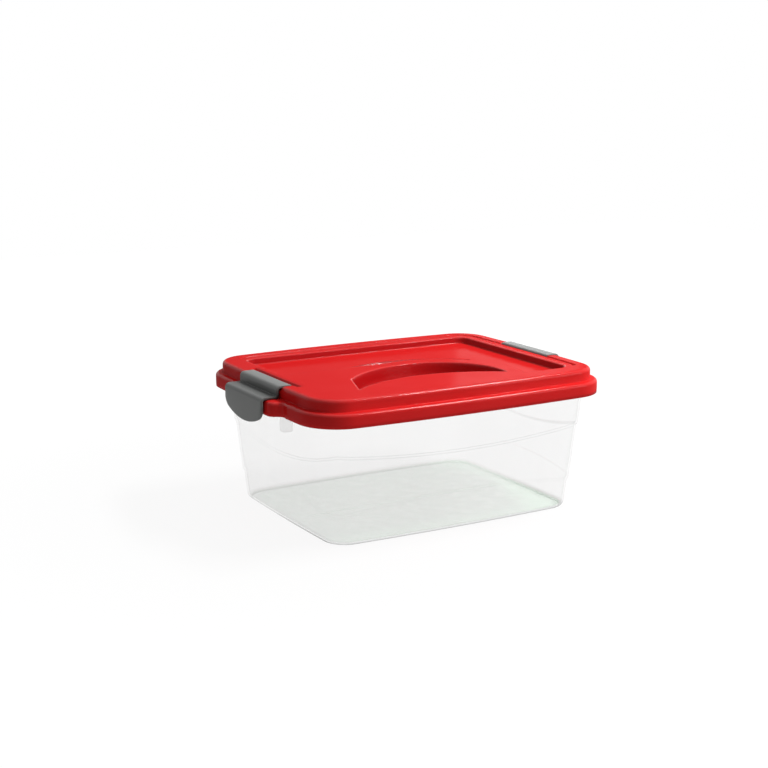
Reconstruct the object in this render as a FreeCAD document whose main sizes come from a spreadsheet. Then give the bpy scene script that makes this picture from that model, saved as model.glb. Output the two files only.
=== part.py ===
import FreeCAD, Part
import math
import os

import Sketcher

# Clear storage box with a lid and two end latches, in millimetres.
# X runs along the length with a latch at each end, -Y is the front and Z is up.
# The origin is under the middle of the floor.

SIZES = {
    # Tub: outline of the mouth, outside the wall, and how far the floor's outline lies inside it.
    "mouth_half_length": 167,
    "mouth_half_width": 127.5,
    "mouth_corner": 32,
    "taper_end": 16,
    "taper_long": 12.5,
    "taper_corner": 4,
    "tub_bow_long": 4,
    "tub_bow_end": 2,
    "tub_wall": 2,
    "floor_thick": 2.4,
    "floor_round": 6,
    # Tub: the two curved steps that divide the wall into three tiers.
    "tier_step": 1.5,
    "low_line_height": 29,
    "low_line_rise": 13,
    "up_line_drop": 48,
    "up_line_sag_long": 11,
    "up_line_sag_end": 19,
    # Tub: rim, turned-down lip, catch bar and the lugs under the rim.
    "rim_thick": 2,
    "lip_thick": 2,
    "lip_drop": 10,
    "bar_drop": 15.9,
    "bar_half_width": 32,
    "lug_centre": 43.5,
    "lug_width": 12,
    "lug_reach": 7,
    "lug_drop": 35.5,
    # Lid: height of its ledge, how far it stands out over the mouth, skirt, porches and raised crown.
    "ledge_height": 146,
    "overhang_end": 13,
    "overhang_long": 12.5,
    "lid_corner": 44,
    "lid_bow_long": 6,
    "lid_bow_end": 2.7,
    "lid_wall": 2,
    "skirt_drop": 15,
    "crown_rise": 13,
    "crown_inset": 7.5,
    "skirt_round": 3.5,
    "crown_round": 4,
    "porch_depth": 13,
    "ear_width": 14,
    "ear_round": 10,
    "ear_blend": 8,
    # Lid: sunk panel, gutter behind the grip, grip and finger pocket. Margins are from the crown's sides.
    "panel_depth": 7.5,
    "panel_margin_left": 25.5,
    "panel_margin_right": 28.5,
    "panel_margin_back": 28.5,
    "panel_margin_toe": 23.5,
    "panel_lap": 3,
    "panel_round": 12,
    "grip_centre_x": 2,
    "grip_margin": 53.5,
    "grip_outer": 90,
    "grip_width": 20,
    "gutter_depth": 11,
    "gutter_width": 38,
    "pocket_depth": 15,
    "pocket_margin": 37.5,
    "pocket_run": 95,
    "pocket_rise": 29,
    "pocket_toe_run": 111,
    "pocket_front_radius": 150,
    "rim_soften": 1.2,
    "groove_inset": 16,
    "groove_width": 4,
    "groove_depth": 2.5,
    "groove_margin_left": 24.5,
    "groove_margin_toe": 26.5,
    "groove_tail": 6,
    # Latch: clip profile, tab, catch and hinge.
    "latch_half_width": 45.5,
    "latch_thick": 2.5,
    "latch_roll": 5,
    "hinge_inset": 11,
    "hinge_drop": 2,
    "barrel_radius": 2.6,
    "stub_radius": 1.5,
    "stub_length": 4.5,
    "tab_drop": 29,
    "tab_rise": 11.5,
    "tab_corner": 14,
    "catch_half_width": 24,
    "catch_height": 5,
    "catch_lip": 1.5,
    "catch_overlap": 1.2,
    # Clearances.
    "seat_gap": 0.3,
    "rim_gap": 0.8,
    "latch_lie": 0.5,
    "latch_side_gap": 2,
    "barrel_gap": 0.9,
    "shelf_gap": 0.4,
    "end_gap": 1.5,
    "stub_clearance": 0.06,
    "catch_play": 1.8,
}

# Places that follow from the sizes above, so that neighbouring pieces share them.
FITS = {
    "floor_half_length": "sizes.mouth_half_length - sizes.taper_end",
    "floor_half_width": "sizes.mouth_half_width - sizes.taper_long",
    "floor_corner": "sizes.mouth_corner - sizes.taper_corner",
    "up_line_height": "sizes.ledge_height - sizes.up_line_drop",
    "lug_low": "sizes.ledge_height - sizes.lug_drop",
    "lid_half_length": "sizes.mouth_half_length + sizes.overhang_end",
    "lid_half_width": "sizes.mouth_half_width + sizes.overhang_long",
    "porch_reach": "lid_half_length + sizes.porch_depth",
    "porch_half_width": "sizes.latch_half_width + sizes.ear_width",
    "skirt_low": "sizes.ledge_height - sizes.skirt_drop",
    "crown_height": "sizes.ledge_height + sizes.crown_rise",
    "crown_half_length": "lid_half_length - sizes.crown_inset",
    "crown_half_width": "lid_half_width - sizes.crown_inset",
    "crown_end": "crown_half_length + sizes.lid_bow_end",
    "rim_top": "sizes.ledge_height - sizes.lid_wall - sizes.seat_gap",
    "rim_inset": "sizes.lid_wall + sizes.rim_gap",
    "grip_centre_y": "sizes.grip_margin - crown_half_width",
    "grip_inner": "sizes.grip_outer - sizes.grip_width",
    "panel_left": "sizes.panel_margin_left - crown_half_length",
    "panel_right": "crown_half_length - sizes.panel_margin_right",
    "panel_back": "crown_half_width - sizes.panel_margin_back",
    "panel_front": "grip_centre_y + sizes.grip_outer - sizes.panel_lap",
    "panel_toe": "sizes.panel_margin_toe - crown_half_width",
    "pocket_toe": "sizes.pocket_margin - crown_half_width",
    "pocket_left": "sizes.grip_centre_x - sizes.pocket_run",
    "pocket_left_back": "grip_centre_y + sizes.pocket_rise",
    "pocket_left_toe": "sizes.grip_centre_x - sizes.pocket_toe_run",
    "groove_left": "sizes.groove_margin_left - crown_half_length",
    "groove_toe": "sizes.groove_margin_toe - crown_half_width",
    "hinge_x": "crown_end - sizes.hinge_inset",
    "hinge_z": "crown_height - sizes.hinge_drop",
    "shelf_height": "hinge_z - sizes.barrel_radius - sizes.shelf_gap",
    "notch_back": "hinge_x - sizes.barrel_radius - sizes.barrel_gap",
    "notch_half_width": "sizes.latch_half_width + sizes.end_gap",
    "bar_low": "rim_top - sizes.bar_drop",
    "bar_face": "porch_reach - rim_inset",
    "latch_wall_face": "crown_end + sizes.latch_side_gap + sizes.latch_thick",
    "latch_ledge_top": "sizes.ledge_height + sizes.latch_lie + sizes.latch_thick",
    "latch_tab_face": "porch_reach + sizes.latch_side_gap + sizes.latch_thick",
    "latch_top": "hinge_z + sizes.barrel_radius",
    "tab_low": "sizes.ledge_height - sizes.tab_drop",
    "tab_side_low": "tab_low + sizes.tab_rise",
}

# Points closer than this, in millimetres, count as the same place.
NEAR = 1e-3
UP = FreeCAD.Vector(0, 0, 1)
LYING = FreeCAD.Rotation()
FACING_FRONT = FreeCAD.Rotation(FreeCAD.Vector(1, 0, 0), 90)
FACING_END = FreeCAD.Rotation(FreeCAD.Vector(1, 1, 1), 120)


def fill_sheet(doc, name, rows, lead):
    """Make a spreadsheet with one aliased cell per size; lead is the text put before each value."""
    sheet = doc.addObject("Spreadsheet::Sheet", name)
    for row, (alias, value) in enumerate(rows.items(), start=1):
        sheet.set(f"A{row}", alias)
        sheet.set(f"B{row}", f"{lead}{value}")
        sheet.setAlias(f"B{row}", alias)
    doc.recompute()
    return sheet


class Maker:
    """Adds bound sketches, solids and booleans to the document."""

    def __init__(self, doc):
        self.doc = doc
        self.sizes = fill_sheet(doc, "sizes", SIZES, "")
        fill_sheet(doc, "fits", FITS, "=")

    def value(self, text):
        """Number that an expression on the sheets gives."""
        return float(self.sizes.evalExpression(text))

    def sketch(self, name, turn, height=None, body=None, plane=None):
        """Empty sketch, free in space or on one of a body's origin planes."""
        if body is None:
            sketch = self.doc.addObject("Sketcher::SketchObject", name)
            sketch.Placement = FreeCAD.Placement(FreeCAD.Vector(), turn)
            if height is not None:
                sketch.setExpression("Placement.Base.z", height)
            return sketch
        sketch = body.newObject("Sketcher::SketchObject", name)
        origin = [part for part in body.Origin.OriginFeatures if part.Role == plane][0]
        sketch.AttachmentSupport = [(origin, "")]
        sketch.MapMode = "FlatFace"
        return sketch

    def bind(self, sketch, label, text, constraint):
        """Add a named constraint and tie it to an expression."""
        index = sketch.addConstraint(constraint)
        sketch.renameConstraint(index, label)
        sketch.setExpression(f"Constraints.{label}", text)

    def draw(self, sketch, corners):
        """Closed outline through corners (x, y, bend).

        bend is None for a straight side, or (radius, turn) for an arc to the next corner,
        with turn 1 when it curves to the left of the way round and -1 when to the right.
        """
        count = len(corners)
        points = [FreeCAD.Vector(self.value(x), self.value(y), 0) for x, y, _ in corners]
        ends = []
        for index, (_, _, bend) in enumerate(corners):
            start = points[index]
            stop = points[(index + 1) % count]
            if bend is None:
                sketch.addGeometry(Part.LineSegment(start, stop))
                ends.append((1, 2))
                continue
            radius = self.value(bend[0])
            chord = stop - start
            side = UP.cross(chord).normalize() * bend[1]
            centre = (start + stop) / 2 + side * math.sqrt(radius**2 - (chord.Length / 2) ** 2)
            first, last = (start, stop) if bend[1] > 0 else (stop, start)
            angles = [math.atan2(p.y - centre.y, p.x - centre.x) for p in (first, last)]
            sketch.addGeometry(Part.ArcOfCircle(Part.Circle(centre, UP, radius), *angles))
            ends.append((1, 2) if bend[1] > 0 else (2, 1))
        for index in range(count):
            following = (index + 1) % count
            sketch.addConstraint(
                Sketcher.Constraint("Coincident", index, ends[index][1], following, ends[following][0])
            )
        for index, (x, y, bend) in enumerate(corners):
            head = ends[index][0]
            self.bind(sketch, f"x{index}", x, Sketcher.Constraint("DistanceX", index, head, points[index].x))
            self.bind(sketch, f"y{index}", y, Sketcher.Constraint("DistanceY", index, head, points[index].y))
            if bend is not None:
                radius = Sketcher.Constraint("Radius", index, self.value(bend[0]))
                self.bind(sketch, f"radius{index}", bend[0], radius)
        return sketch

    def bowed(self, name, height, length, width, corner, bow_long, bow_end):
        """Rounded rectangle whose four sides bow outwards, as eight tangent arcs.

        length and width are half sizes at the corners, and each bow is added in the middle of a side.
        """
        sketch = self.sketch(name, LYING, height)
        radii = {
            "end": f"(({width})^2 + ({bow_end})^2) / (2 * ({bow_end}))",
            "long": f"(({length})^2 + ({bow_long})^2) / (2 * ({bow_long}))",
        }
        offset = {
            "end": f"({length}) + ({bow_end}) - ({radii['end']})",
            "long": f"({width}) + ({bow_long}) - ({radii['long']})",
        }
        r_end, r_long, r_corner = (self.value(text) for text in (radii["end"], radii["long"], corner))
        x_end, y_long = (self.value(offset[key]) for key in ("end", "long"))
        # The corner's centre is where the two side arcs, drawn in by the corner radius, cross.
        gap = math.hypot(x_end, y_long)
        reach_end, reach_long = r_end - r_corner, r_long - r_corner
        along = (reach_end**2 - reach_long**2 + gap**2) / (2 * gap)
        across = math.sqrt(reach_end**2 - along**2)
        way = FreeCAD.Vector(-x_end, y_long, 0) / gap
        centre = FreeCAD.Vector(x_end, 0, 0) + way * along + FreeCAD.Vector(-way.y, way.x, 0) * across
        low = math.atan2(centre.y, centre.x - x_end)
        high = math.atan2(centre.y - y_long, centre.x)
        half = math.pi
        arcs = [
            (x_end, 0, r_end, -low, low),
            (centre.x, centre.y, r_corner, low, high),
            (0, y_long, r_long, high, half - high),
            (-centre.x, centre.y, r_corner, half - high, half - low),
            (-x_end, 0, r_end, half - low, half + low),
            (-centre.x, -centre.y, r_corner, half + low, half + high),
            (0, -y_long, r_long, half + high, 2 * half - high),
            (centre.x, -centre.y, r_corner, 2 * half - high, 2 * half - low),
        ]
        for x, y, radius, start, stop in arcs:
            circle = Part.Circle(FreeCAD.Vector(x, y, 0), UP, radius)
            sketch.addGeometry(Part.ArcOfCircle(circle, start, stop))
        for index in range(len(arcs)):
            sketch.addConstraint(Sketcher.Constraint("Tangent", index, 2, (index + 1) % len(arcs), 1))
        sides = [(0, "end", "DistanceX", 1), (2, "long", "DistanceY", 1)]
        sides += [(4, "end", "DistanceX", -1), (6, "long", "DistanceY", -1)]
        for index, side, kind, sign in sides:
            axis = -1 if side == "end" else -2
            sketch.addConstraint(Sketcher.Constraint("PointOnObject", index, 3, axis))
            text = f"{sign} * ({offset[side]})"
            self.bind(sketch, f"centre{index}", text, Sketcher.Constraint(kind, index, 3, self.value(text)))
            radius = Sketcher.Constraint("Radius", index, self.value(radii[side]))
            self.bind(sketch, f"radius{index}", radii[side], radius)
        for index in (1, 3, 5, 7):
            self.bind(sketch, f"radius{index}", corner, Sketcher.Constraint("Radius", index, r_corner))
        return sketch

    def extrude(self, name, sketch, depth, both_ways=False):
        """Solid made by carrying a sketch along its normal."""
        solid = self.doc.addObject("Part::Extrusion", name)
        solid.Base = sketch
        solid.DirMode = "Normal"
        solid.Solid = True
        solid.Symmetric = both_ways
        solid.setExpression("LengthFwd", depth)
        return solid

    def loft(self, name, sections, straight=True):
        """Solid through a pile of sketches, with straight or curved walls."""
        solid = self.doc.addObject("Part::Loft", name)
        solid.Sections = sections
        solid.Solid = True
        solid.Ruled = straight
        return solid

    def box(self, name, low, high):
        """Box between two corners, each three expressions."""
        solid = self.doc.addObject("Part::Box", name)
        for axis, size, first, last in zip("xyz", ("Length", "Width", "Height"), low, high):
            solid.setExpression(f"Placement.Base.{axis}", first)
            solid.setExpression(size, f"({last}) - ({first})")
        return solid

    def join(self, name, solids):
        """Union of solids."""
        union = self.doc.addObject("Part::MultiFuse", name)
        union.Shapes = solids
        return union

    def overlap(self, name, solids):
        """What the solids have in common."""
        shared = self.doc.addObject("Part::MultiCommon", name)
        shared.Shapes = solids
        return shared

    def cut(self, name, base, tool):
        """Base with the tool taken away."""
        result = self.doc.addObject("Part::Cut", name)
        result.Base = base
        result.Tool = tool
        return result

    def rounded(self, name, base, radius, chosen):
        """Base with the edges rounded for which chosen(edge) is true."""
        self.doc.recompute()
        size = self.value(radius)
        fillet = self.doc.addObject("Part::Fillet", name)
        fillet.Base = base
        fillet.Edges = [(i, size, size) for i, edge in enumerate(base.Shape.Edges, start=1) if chosen(edge)]
        return fillet


def upright(edge):
    """True for a straight edge that stands vertical."""
    ends = [vertex.Point for vertex in edge.Vertexes]
    return len(ends) == 2 and (ends[1] - ends[0]).cross(UP).Length < NEAR


def level_at(height):
    """Chooser of the edges that lie level at a height."""
    return lambda edge: all(abs(vertex.Z - height) < NEAR for vertex in edge.Vertexes)


def above_line(maker, name, turn, span, height, swing, bend):
    """Everything above a curved step line, as a prism across the whole box.

    The line ends at the given height at both ends of the span and swings up (bend -1) or down (bend 1).
    """
    radius = f"(({span})^2 + ({swing})^2) / (2 * ({swing}))"
    corners = [
        (f"-({span})", height, (radius, bend)),
        (span, height, None),
        (span, "2 * fits.rim_top", None),
        (f"-({span})", "2 * fits.rim_top", None),
    ]
    sketch = maker.draw(maker.sketch(f"{name}_line", turn), corners)
    return maker.extrude(name, sketch, "2 * fits.lid_half_length", both_ways=True)


def floor_outline(maker, name, height, grow):
    """Outline of the tub's foot, drawn out by an amount."""
    return maker.bowed(
        name,
        height,
        f"fits.floor_half_length + {grow}",
        f"fits.floor_half_width + {grow}",
        f"fits.floor_corner + {grow}",
        "sizes.tub_bow_long",
        "sizes.tub_bow_end",
    )


def rounded_foot(maker, name, inset, bottom, radius):
    """Foot of the tub: a curved wall that rolls from the floor into the side by a quarter round."""
    sections = []
    halfway = f"{1 - math.sqrt(0.5)} * ({radius})"
    for level, (back, rise) in enumerate(((radius, "0"), (halfway, halfway), ("0", radius))):
        grow = f"-({inset}) - ({back})"
        sections.append(floor_outline(maker, f"{name}_ring{level}", f"{bottom} + {rise}", grow))
    return maker.loft(name, sections, straight=False), sections[-1]


def tiered_solid(maker, name, inset, bottom, lift, bottom_round):
    """Tapered solid in three tiers, each a step wider than the one below.

    inset draws every outline in, and lift raises the step lines, so that the same function gives the
    outside of the tub and the space inside its wall.
    """
    foot, foot_top = rounded_foot(maker, f"{name}_foot", inset, bottom, bottom_round)
    tiers = []
    for tier in range(3):
        shrink = f"{2 - tier} * sizes.tier_step + {inset}"
        grow = f"{tier} * sizes.tier_step - {inset}"
        lower = floor_outline(maker, f"{name}_low{tier}", bottom, grow) if tier else foot_top
        upper = maker.bowed(
            f"{name}_head{tier}",
            "fits.rim_top",
            f"sizes.mouth_half_length - ({shrink})",
            f"sizes.mouth_half_width - ({shrink})",
            f"sizes.mouth_corner - ({shrink})",
            "sizes.tub_bow_long",
            "sizes.tub_bow_end",
        )
        tiers.append(maker.loft(f"{name}_tier{tier}", [lower, upper]))
    spans = {"long": (FACING_FRONT, "sizes.mouth_half_length"), "end": (FACING_END, "sizes.mouth_half_width")}
    low, high = [], []
    for side, (turn, span) in spans.items():
        low_line = f"sizes.low_line_height + {lift}"
        high_line = f"fits.up_line_height + {lift}"
        sag = f"sizes.up_line_sag_{side}"
        low.append(above_line(maker, f"{name}_low_{side}", turn, span, low_line, "sizes.low_line_rise", -1))
        high.append(above_line(maker, f"{name}_high_{side}", turn, span, high_line, sag, 1))
    middle = maker.overlap(f"{name}_middle", [tiers[1], *low])
    top = maker.overlap(f"{name}_top", [tiers[2], maker.join(f"{name}_high", high)])
    return maker.join(f"{name}_tiers", [foot, tiers[0], middle, top])


def rim_plate(maker, name, inset, bottom, depth):
    """Plate with the lid's outline and its two porches, drawn in by an inset."""
    outline = maker.bowed(
        f"{name}_outline",
        bottom,
        f"fits.lid_half_length - ({inset})",
        f"fits.lid_half_width - ({inset})",
        f"sizes.lid_corner - ({inset})",
        "sizes.lid_bow_long",
        "sizes.lid_bow_end",
    )
    plate = maker.extrude(f"{name}_plate", outline, depth)
    reach = f"fits.porch_reach - ({inset})"
    side = f"fits.porch_half_width - ({inset})"
    low = (f"-({reach})", f"-({side})", bottom)
    porch = maker.box(f"{name}_porch", low, (reach, side, f"{bottom} + {depth}"))
    ears = maker.rounded(f"{name}_ears", porch, f"sizes.ear_round - ({inset})", upright)
    return maker.join(name, [plate, ears])


def make_tub(maker):
    """Clear tub: tiered wall, rim with a turned-down lip, catch bars and lugs."""
    outside = tiered_solid(maker, "tub_outside", "0", "0", "0", "sizes.floor_round")
    inside = tiered_solid(
        maker,
        "tub_inside",
        "sizes.tub_wall",
        "sizes.floor_thick",
        "sizes.tub_wall",
        "sizes.floor_round - sizes.tub_wall",
    )
    lip_low = "fits.rim_top - sizes.lip_drop"
    rim = rim_plate(maker, "rim_block", "fits.rim_inset", lip_low, "sizes.lip_drop")
    void_inset = "fits.rim_inset + sizes.lip_thick"
    void = rim_plate(maker, "rim_void", void_inset, lip_low, "sizes.lip_drop - sizes.rim_thick")
    solids = [outside, maker.cut("rim", rim, void)]
    under_rim = "fits.rim_top - sizes.rim_thick"
    for end, sign in (("left", -1), ("right", 1)):
        bar_x = [f"{sign} * fits.bar_face", f"{sign} * (fits.bar_face - sizes.lip_thick)"][::-sign]
        low = (bar_x[0], "-sizes.bar_half_width", "fits.bar_low")
        solids.append(maker.box(f"bar_{end}", low, (bar_x[1], "sizes.bar_half_width", under_rim)))
        for side, way in (("front", -1), ("back", 1)):
            inner = "sizes.mouth_half_length - sizes.lug_reach"
            outer = "sizes.mouth_half_length + sizes.lug_reach"
            lug_x = [f"{sign} * ({outer})", f"{sign} * ({inner})"][::-sign]
            middle = f"{way} * sizes.lug_centre"
            low = (lug_x[0], f"{middle} - sizes.lug_width / 2", "fits.lug_low")
            high = (lug_x[1], f"{middle} + sizes.lug_width / 2", under_rim)
            solids.append(maker.box(f"lug_{end}_{side}", low, high))
    return maker.cut("tub", maker.join("tub_solid", solids), inside)


def sunk_solid(maker, name, corners, depth, corner_round):
    """Solid that reaches from above the crown down to a depth below it.

    corner_round is None, or the radius of the corners at the sides of the sunk panel.
    """
    sketch = maker.sketch(f"{name}_plan", LYING, f"fits.crown_height - ({depth})")
    solid = maker.extrude(name, maker.draw(sketch, corners), f"{depth} + sizes.crown_round")
    if corner_round is None:
        return solid
    sides = [maker.value(corners[0][0]), maker.value(corners[3][0])]
    return maker.rounded(
        f"{name}_smooth",
        solid,
        corner_round,
        lambda edge: upright(edge) and min(abs(edge.Vertexes[0].X - side) for side in sides) < NEAR,
    )


def circle_x(radius, y):
    """Half chord of a circle about the grip's centre at a place along Y."""
    return f"sqrt(({radius})^2 - ({y} - fits.grip_centre_y)^2)"


def panel_corners(grow):
    """Plan of the sunk panel: it wraps round the back and right of the arched grip."""
    outer = f"sizes.grip_outer - {grow}"
    front = f"(fits.panel_front - {grow})"
    toe = f"(fits.panel_toe - {grow})"
    left = f"fits.panel_left - {grow}"
    right = f"fits.panel_right + {grow}"
    back = f"fits.panel_back + {grow}"
    return [
        (left, front, None),
        (f"sizes.grip_centre_x - {circle_x(outer, front)}", front, (outer, -1)),
        (f"sizes.grip_centre_x + {circle_x(outer, toe)}", toe, None),
        (right, toe, None),
        (right, back, None),
        (left, back, None),
    ]


def gutter_corners(grow):
    """Plan of the gutter: a ring piece along the back of the grip."""
    inner = f"sizes.grip_outer - {grow}"
    outer = f"sizes.grip_outer + sizes.gutter_width + {grow}"
    front = f"(fits.panel_front - {grow})"
    middle = "sizes.grip_centre_x"
    return [
        (f"{middle} - {circle_x(outer, front)}", front, None),
        (f"{middle} - {circle_x(inner, front)}", front, (inner, -1)),
        (f"{middle} + {circle_x(inner, front)}", front, None),
        (f"{middle} + {circle_x(outer, front)}", front, (outer, 1)),
    ]


def pocket_corners(grow):
    """Plan of the finger pocket: a crescent under the arch of the grip."""
    inner = f"fits.grip_inner + {grow}"
    crest = f"(fits.grip_centre_y + {inner})"
    left = f"(fits.pocket_left - {grow})"
    left_back = f"(fits.pocket_left_back + {grow})"
    run = f"(sizes.grip_centre_x - {left})"
    fall = f"({crest} - {left_back})"
    toe = f"(fits.pocket_toe - {grow})"
    return [
        (f"fits.pocket_left_toe - {grow}", toe, (f"sizes.pocket_front_radius + {grow}", -1)),
        (f"sizes.grip_centre_x + {circle_x(inner, toe)}", toe, (inner, 1)),
        ("sizes.grip_centre_x", crest, (f"({run}^2 + {fall}^2) / (2 * {fall})", 1)),
        (left, left_back, None),
    ]


def crown_outline(maker, name, height, inset):
    """Outline of the lid's raised crown, drawn in by an inset."""
    back = f"(sizes.crown_inset + {inset})"
    return maker.bowed(
        name,
        height,
        f"fits.lid_half_length - {back}",
        f"fits.lid_half_width - {back}",
        f"sizes.lid_corner - {back}",
        "sizes.lid_bow_long",
        "sizes.lid_bow_end",
    )


def lid_outside(maker):
    """Outer form of the lid: skirt with rounded porches, and the raised crown."""
    low = "fits.skirt_low"
    skirt = rim_plate(maker, "skirt", "0", low, "sizes.ledge_height - fits.skirt_low")
    side = maker.value("fits.porch_half_width")
    blend = maker.rounded(
        "skirt_blend",
        skirt,
        "sizes.ear_blend",
        lambda edge: upright(edge) and abs(abs(edge.Vertexes[0].Y) - side) < NEAR,
    )
    ledge = level_at(maker.value("sizes.ledge_height"))
    soft_skirt = maker.rounded("skirt_soft", blend, "sizes.skirt_round", ledge)
    outline = crown_outline(maker, "crown_plan", low, "0")
    crown = maker.extrude("crown", outline, "fits.crown_height - fits.skirt_low")
    top = level_at(maker.value("fits.crown_height"))
    soft_crown = maker.rounded("crown_soft", crown, "sizes.crown_round", top)
    return maker.join("lid_form", [soft_skirt, soft_crown])


def groove_ring(maker, name, grow):
    """Narrow groove in the crown along the back and the right, and behind the left latch."""
    depth = f"(sizes.groove_depth + {grow})"
    bottom = f"fits.crown_height - {depth}"
    half = f"(sizes.groove_width / 2 + {grow})"
    rings = []
    for side, sign in (("outer", -1), ("inner", 1)):
        inset = f"sizes.groove_inset + {sign} * {half}"
        outline = crown_outline(maker, f"{name}_{side}_plan", bottom, inset)
        rings.append(maker.extrude(f"{name}_{side}", outline, f"{depth} + sizes.crown_round"))
    ring = maker.cut(f"{name}_ring", *rings)
    top = "fits.crown_height + sizes.crown_round"
    far = ("fits.lid_half_length", "fits.lid_half_width", top)
    left = f"fits.groove_left - {grow}"
    toe = f"fits.groove_toe - {grow}"
    tail = f"(fits.notch_half_width + sizes.groove_tail + {grow})"
    latch_side = ("-fits.lid_half_length", f"-{tail}", bottom)
    reaches = [
        maker.box(f"{name}_back", (left, "0", bottom), far),
        maker.box(f"{name}_right", ("fits.panel_right", toe, bottom), far),
        maker.box(f"{name}_left", latch_side, ("fits.panel_left", tail, top)),
    ]
    return maker.overlap(name, [ring, maker.join(f"{name}_reach", reaches)])


def latch_notches(maker, name, grow, cheek):
    """Space in the crown for the top of each latch, drawn out by the wall and the cheeks."""
    notches = []
    for end, sign in (("left", -1), ("right", 1)):
        run = [f"{sign} * fits.porch_reach", f"{sign} * (fits.notch_back - {grow})"][::-sign]
        side = f"(fits.notch_half_width + {cheek})"
        low = (run[0], f"-{side}", f"fits.shelf_height - {grow}")
        high = (run[1], side, "fits.crown_height + sizes.crown_round")
        notches.append(maker.box(f"{name}_{end}", low, high))
    return notches


def hinge_sockets(maker):
    """Round holes across each notch that take the latch's stubs."""
    sockets = []
    for end, sign in (("left", -1), ("right", 1)):
        socket = maker.doc.addObject("Part::Cylinder", f"socket_{end}")
        reach = "(sizes.latch_half_width + sizes.stub_length + sizes.seat_gap)"
        socket.setExpression("Radius", "sizes.stub_radius + sizes.stub_clearance")
        socket.setExpression("Height", f"2 * {reach}")
        socket.Placement.Rotation = FACING_FRONT
        socket.setExpression("Placement.Base.x", f"{sign} * fits.hinge_x")
        socket.setExpression("Placement.Base.y", reach)
        socket.setExpression("Placement.Base.z", "fits.hinge_z")
        sockets.append(socket)
    return sockets


def panel_rim(maker):
    """Chooser of the upper edges of the sunk panel, the grip and the finger pocket."""
    top = level_at(maker.value("fits.crown_height"))
    left = maker.value("fits.panel_left") - NEAR
    right = maker.value("fits.panel_right") + NEAR
    front = maker.value("fits.panel_toe") - NEAR
    back = maker.value("fits.panel_back") + NEAR

    def chosen(edge):
        middle = edge.valueAt((edge.FirstParameter + edge.LastParameter) / 2)
        return top(edge) and left < middle.x < right and front < middle.y < back

    return chosen


def make_lid(maker):
    """Lid: a thin shell with a sunk panel, gutter, finger pocket, groove and latch notches."""
    wall = "sizes.lid_wall"
    low = "fits.skirt_low"
    skirt_space = rim_plate(
        maker, "skirt_space", wall, low, "sizes.ledge_height - sizes.lid_wall - fits.skirt_low"
    )
    plan = crown_outline(maker, "crown_space_plan", low, wall)
    crown_space = maker.extrude("crown_space", plan, "fits.crown_height - sizes.lid_wall - fits.skirt_low")
    space = maker.join("lid_space", [skirt_space, crown_space])
    plans = {
        "panel": (panel_corners, "sizes.panel_depth", "sizes.panel_round"),
        "gutter": (gutter_corners, "sizes.gutter_depth", None),
        "pocket": (pocket_corners, "sizes.pocket_depth", None),
    }
    sunk, backing = [], []
    for name, (corners, depth, corner) in plans.items():
        sunk.append(sunk_solid(maker, name, corners("0"), depth, corner))
        around = corner and f"{corner} + {wall}"
        backing.append(sunk_solid(maker, f"{name}_backing", corners(wall), f"{depth} + {wall}", around))
    cheek = "(sizes.stub_length + sizes.lid_wall)"
    backing += latch_notches(maker, "notch_backing", wall, cheek)
    sunk += latch_notches(maker, "notch", "0", "0")
    sunk += hinge_sockets(maker)
    sunk.append(groove_ring(maker, "groove", "0"))
    backing.append(groove_ring(maker, "groove_backing", wall))
    hollow = maker.cut("lid_hollow", space, maker.join("lid_backing", backing))
    shell = maker.cut("lid_shell", lid_outside(maker), hollow)
    carved = maker.cut("lid_carved", shell, maker.join("lid_sunk", sunk))
    return maker.rounded("lid", carved, "sizes.rim_soften", panel_rim(maker))


def body_pad(maker, body, name, sketch, length):
    """Pad of a sketch, half to each side of its plane."""
    pad = body.newObject("PartDesign::Pad", name)
    pad.Profile = sketch
    pad.SideType = "Symmetric"
    pad.setExpression("Length", length)
    maker.doc.recompute()
    return pad


def body_fillet(maker, body, name, radius, chosen):
    """Round the edges of a body's tip for which chosen(edge) is true."""
    base = body.Tip
    names = [f"Edge{i}" for i, edge in enumerate(base.Shape.Edges, start=1) if chosen(edge)]
    fillet = body.newObject("PartDesign::Fillet", name)
    fillet.Base = (base, names)
    fillet.setExpression("Radius", radius)
    maker.doc.recompute()
    return fillet


def crosswise_at(maker, places):
    """Chooser of the edges that run along Y at given places in X and Z."""
    spots = [(maker.value(x), maker.value(z)) for x, z in places]

    def chosen(edge):
        ends = [vertex.Point for vertex in edge.Vertexes]
        return any(all(math.hypot(p.x - x, p.z - z) < NEAR for p in ends) for x, z in spots)

    return chosen


def round_bar(maker, body, name, radius, length):
    """Round bar on the hinge line, across the latch."""
    sketch = maker.sketch(f"{name}_plan", None, body=body, plane="XZ_Plane")
    centre = FreeCAD.Vector(maker.value("fits.hinge_x"), maker.value("fits.hinge_z"), 0)
    sketch.addGeometry(Part.Circle(centre, UP, maker.value(radius)))
    maker.bind(sketch, "along", "fits.hinge_x", Sketcher.Constraint("DistanceX", 0, 3, centre.x))
    maker.bind(sketch, "up", "fits.hinge_z", Sketcher.Constraint("DistanceY", 0, 3, centre.y))
    maker.bind(sketch, "size", radius, Sketcher.Constraint("Radius", 0, maker.value(radius)))
    return body_pad(maker, body, name, sketch, length)


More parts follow.
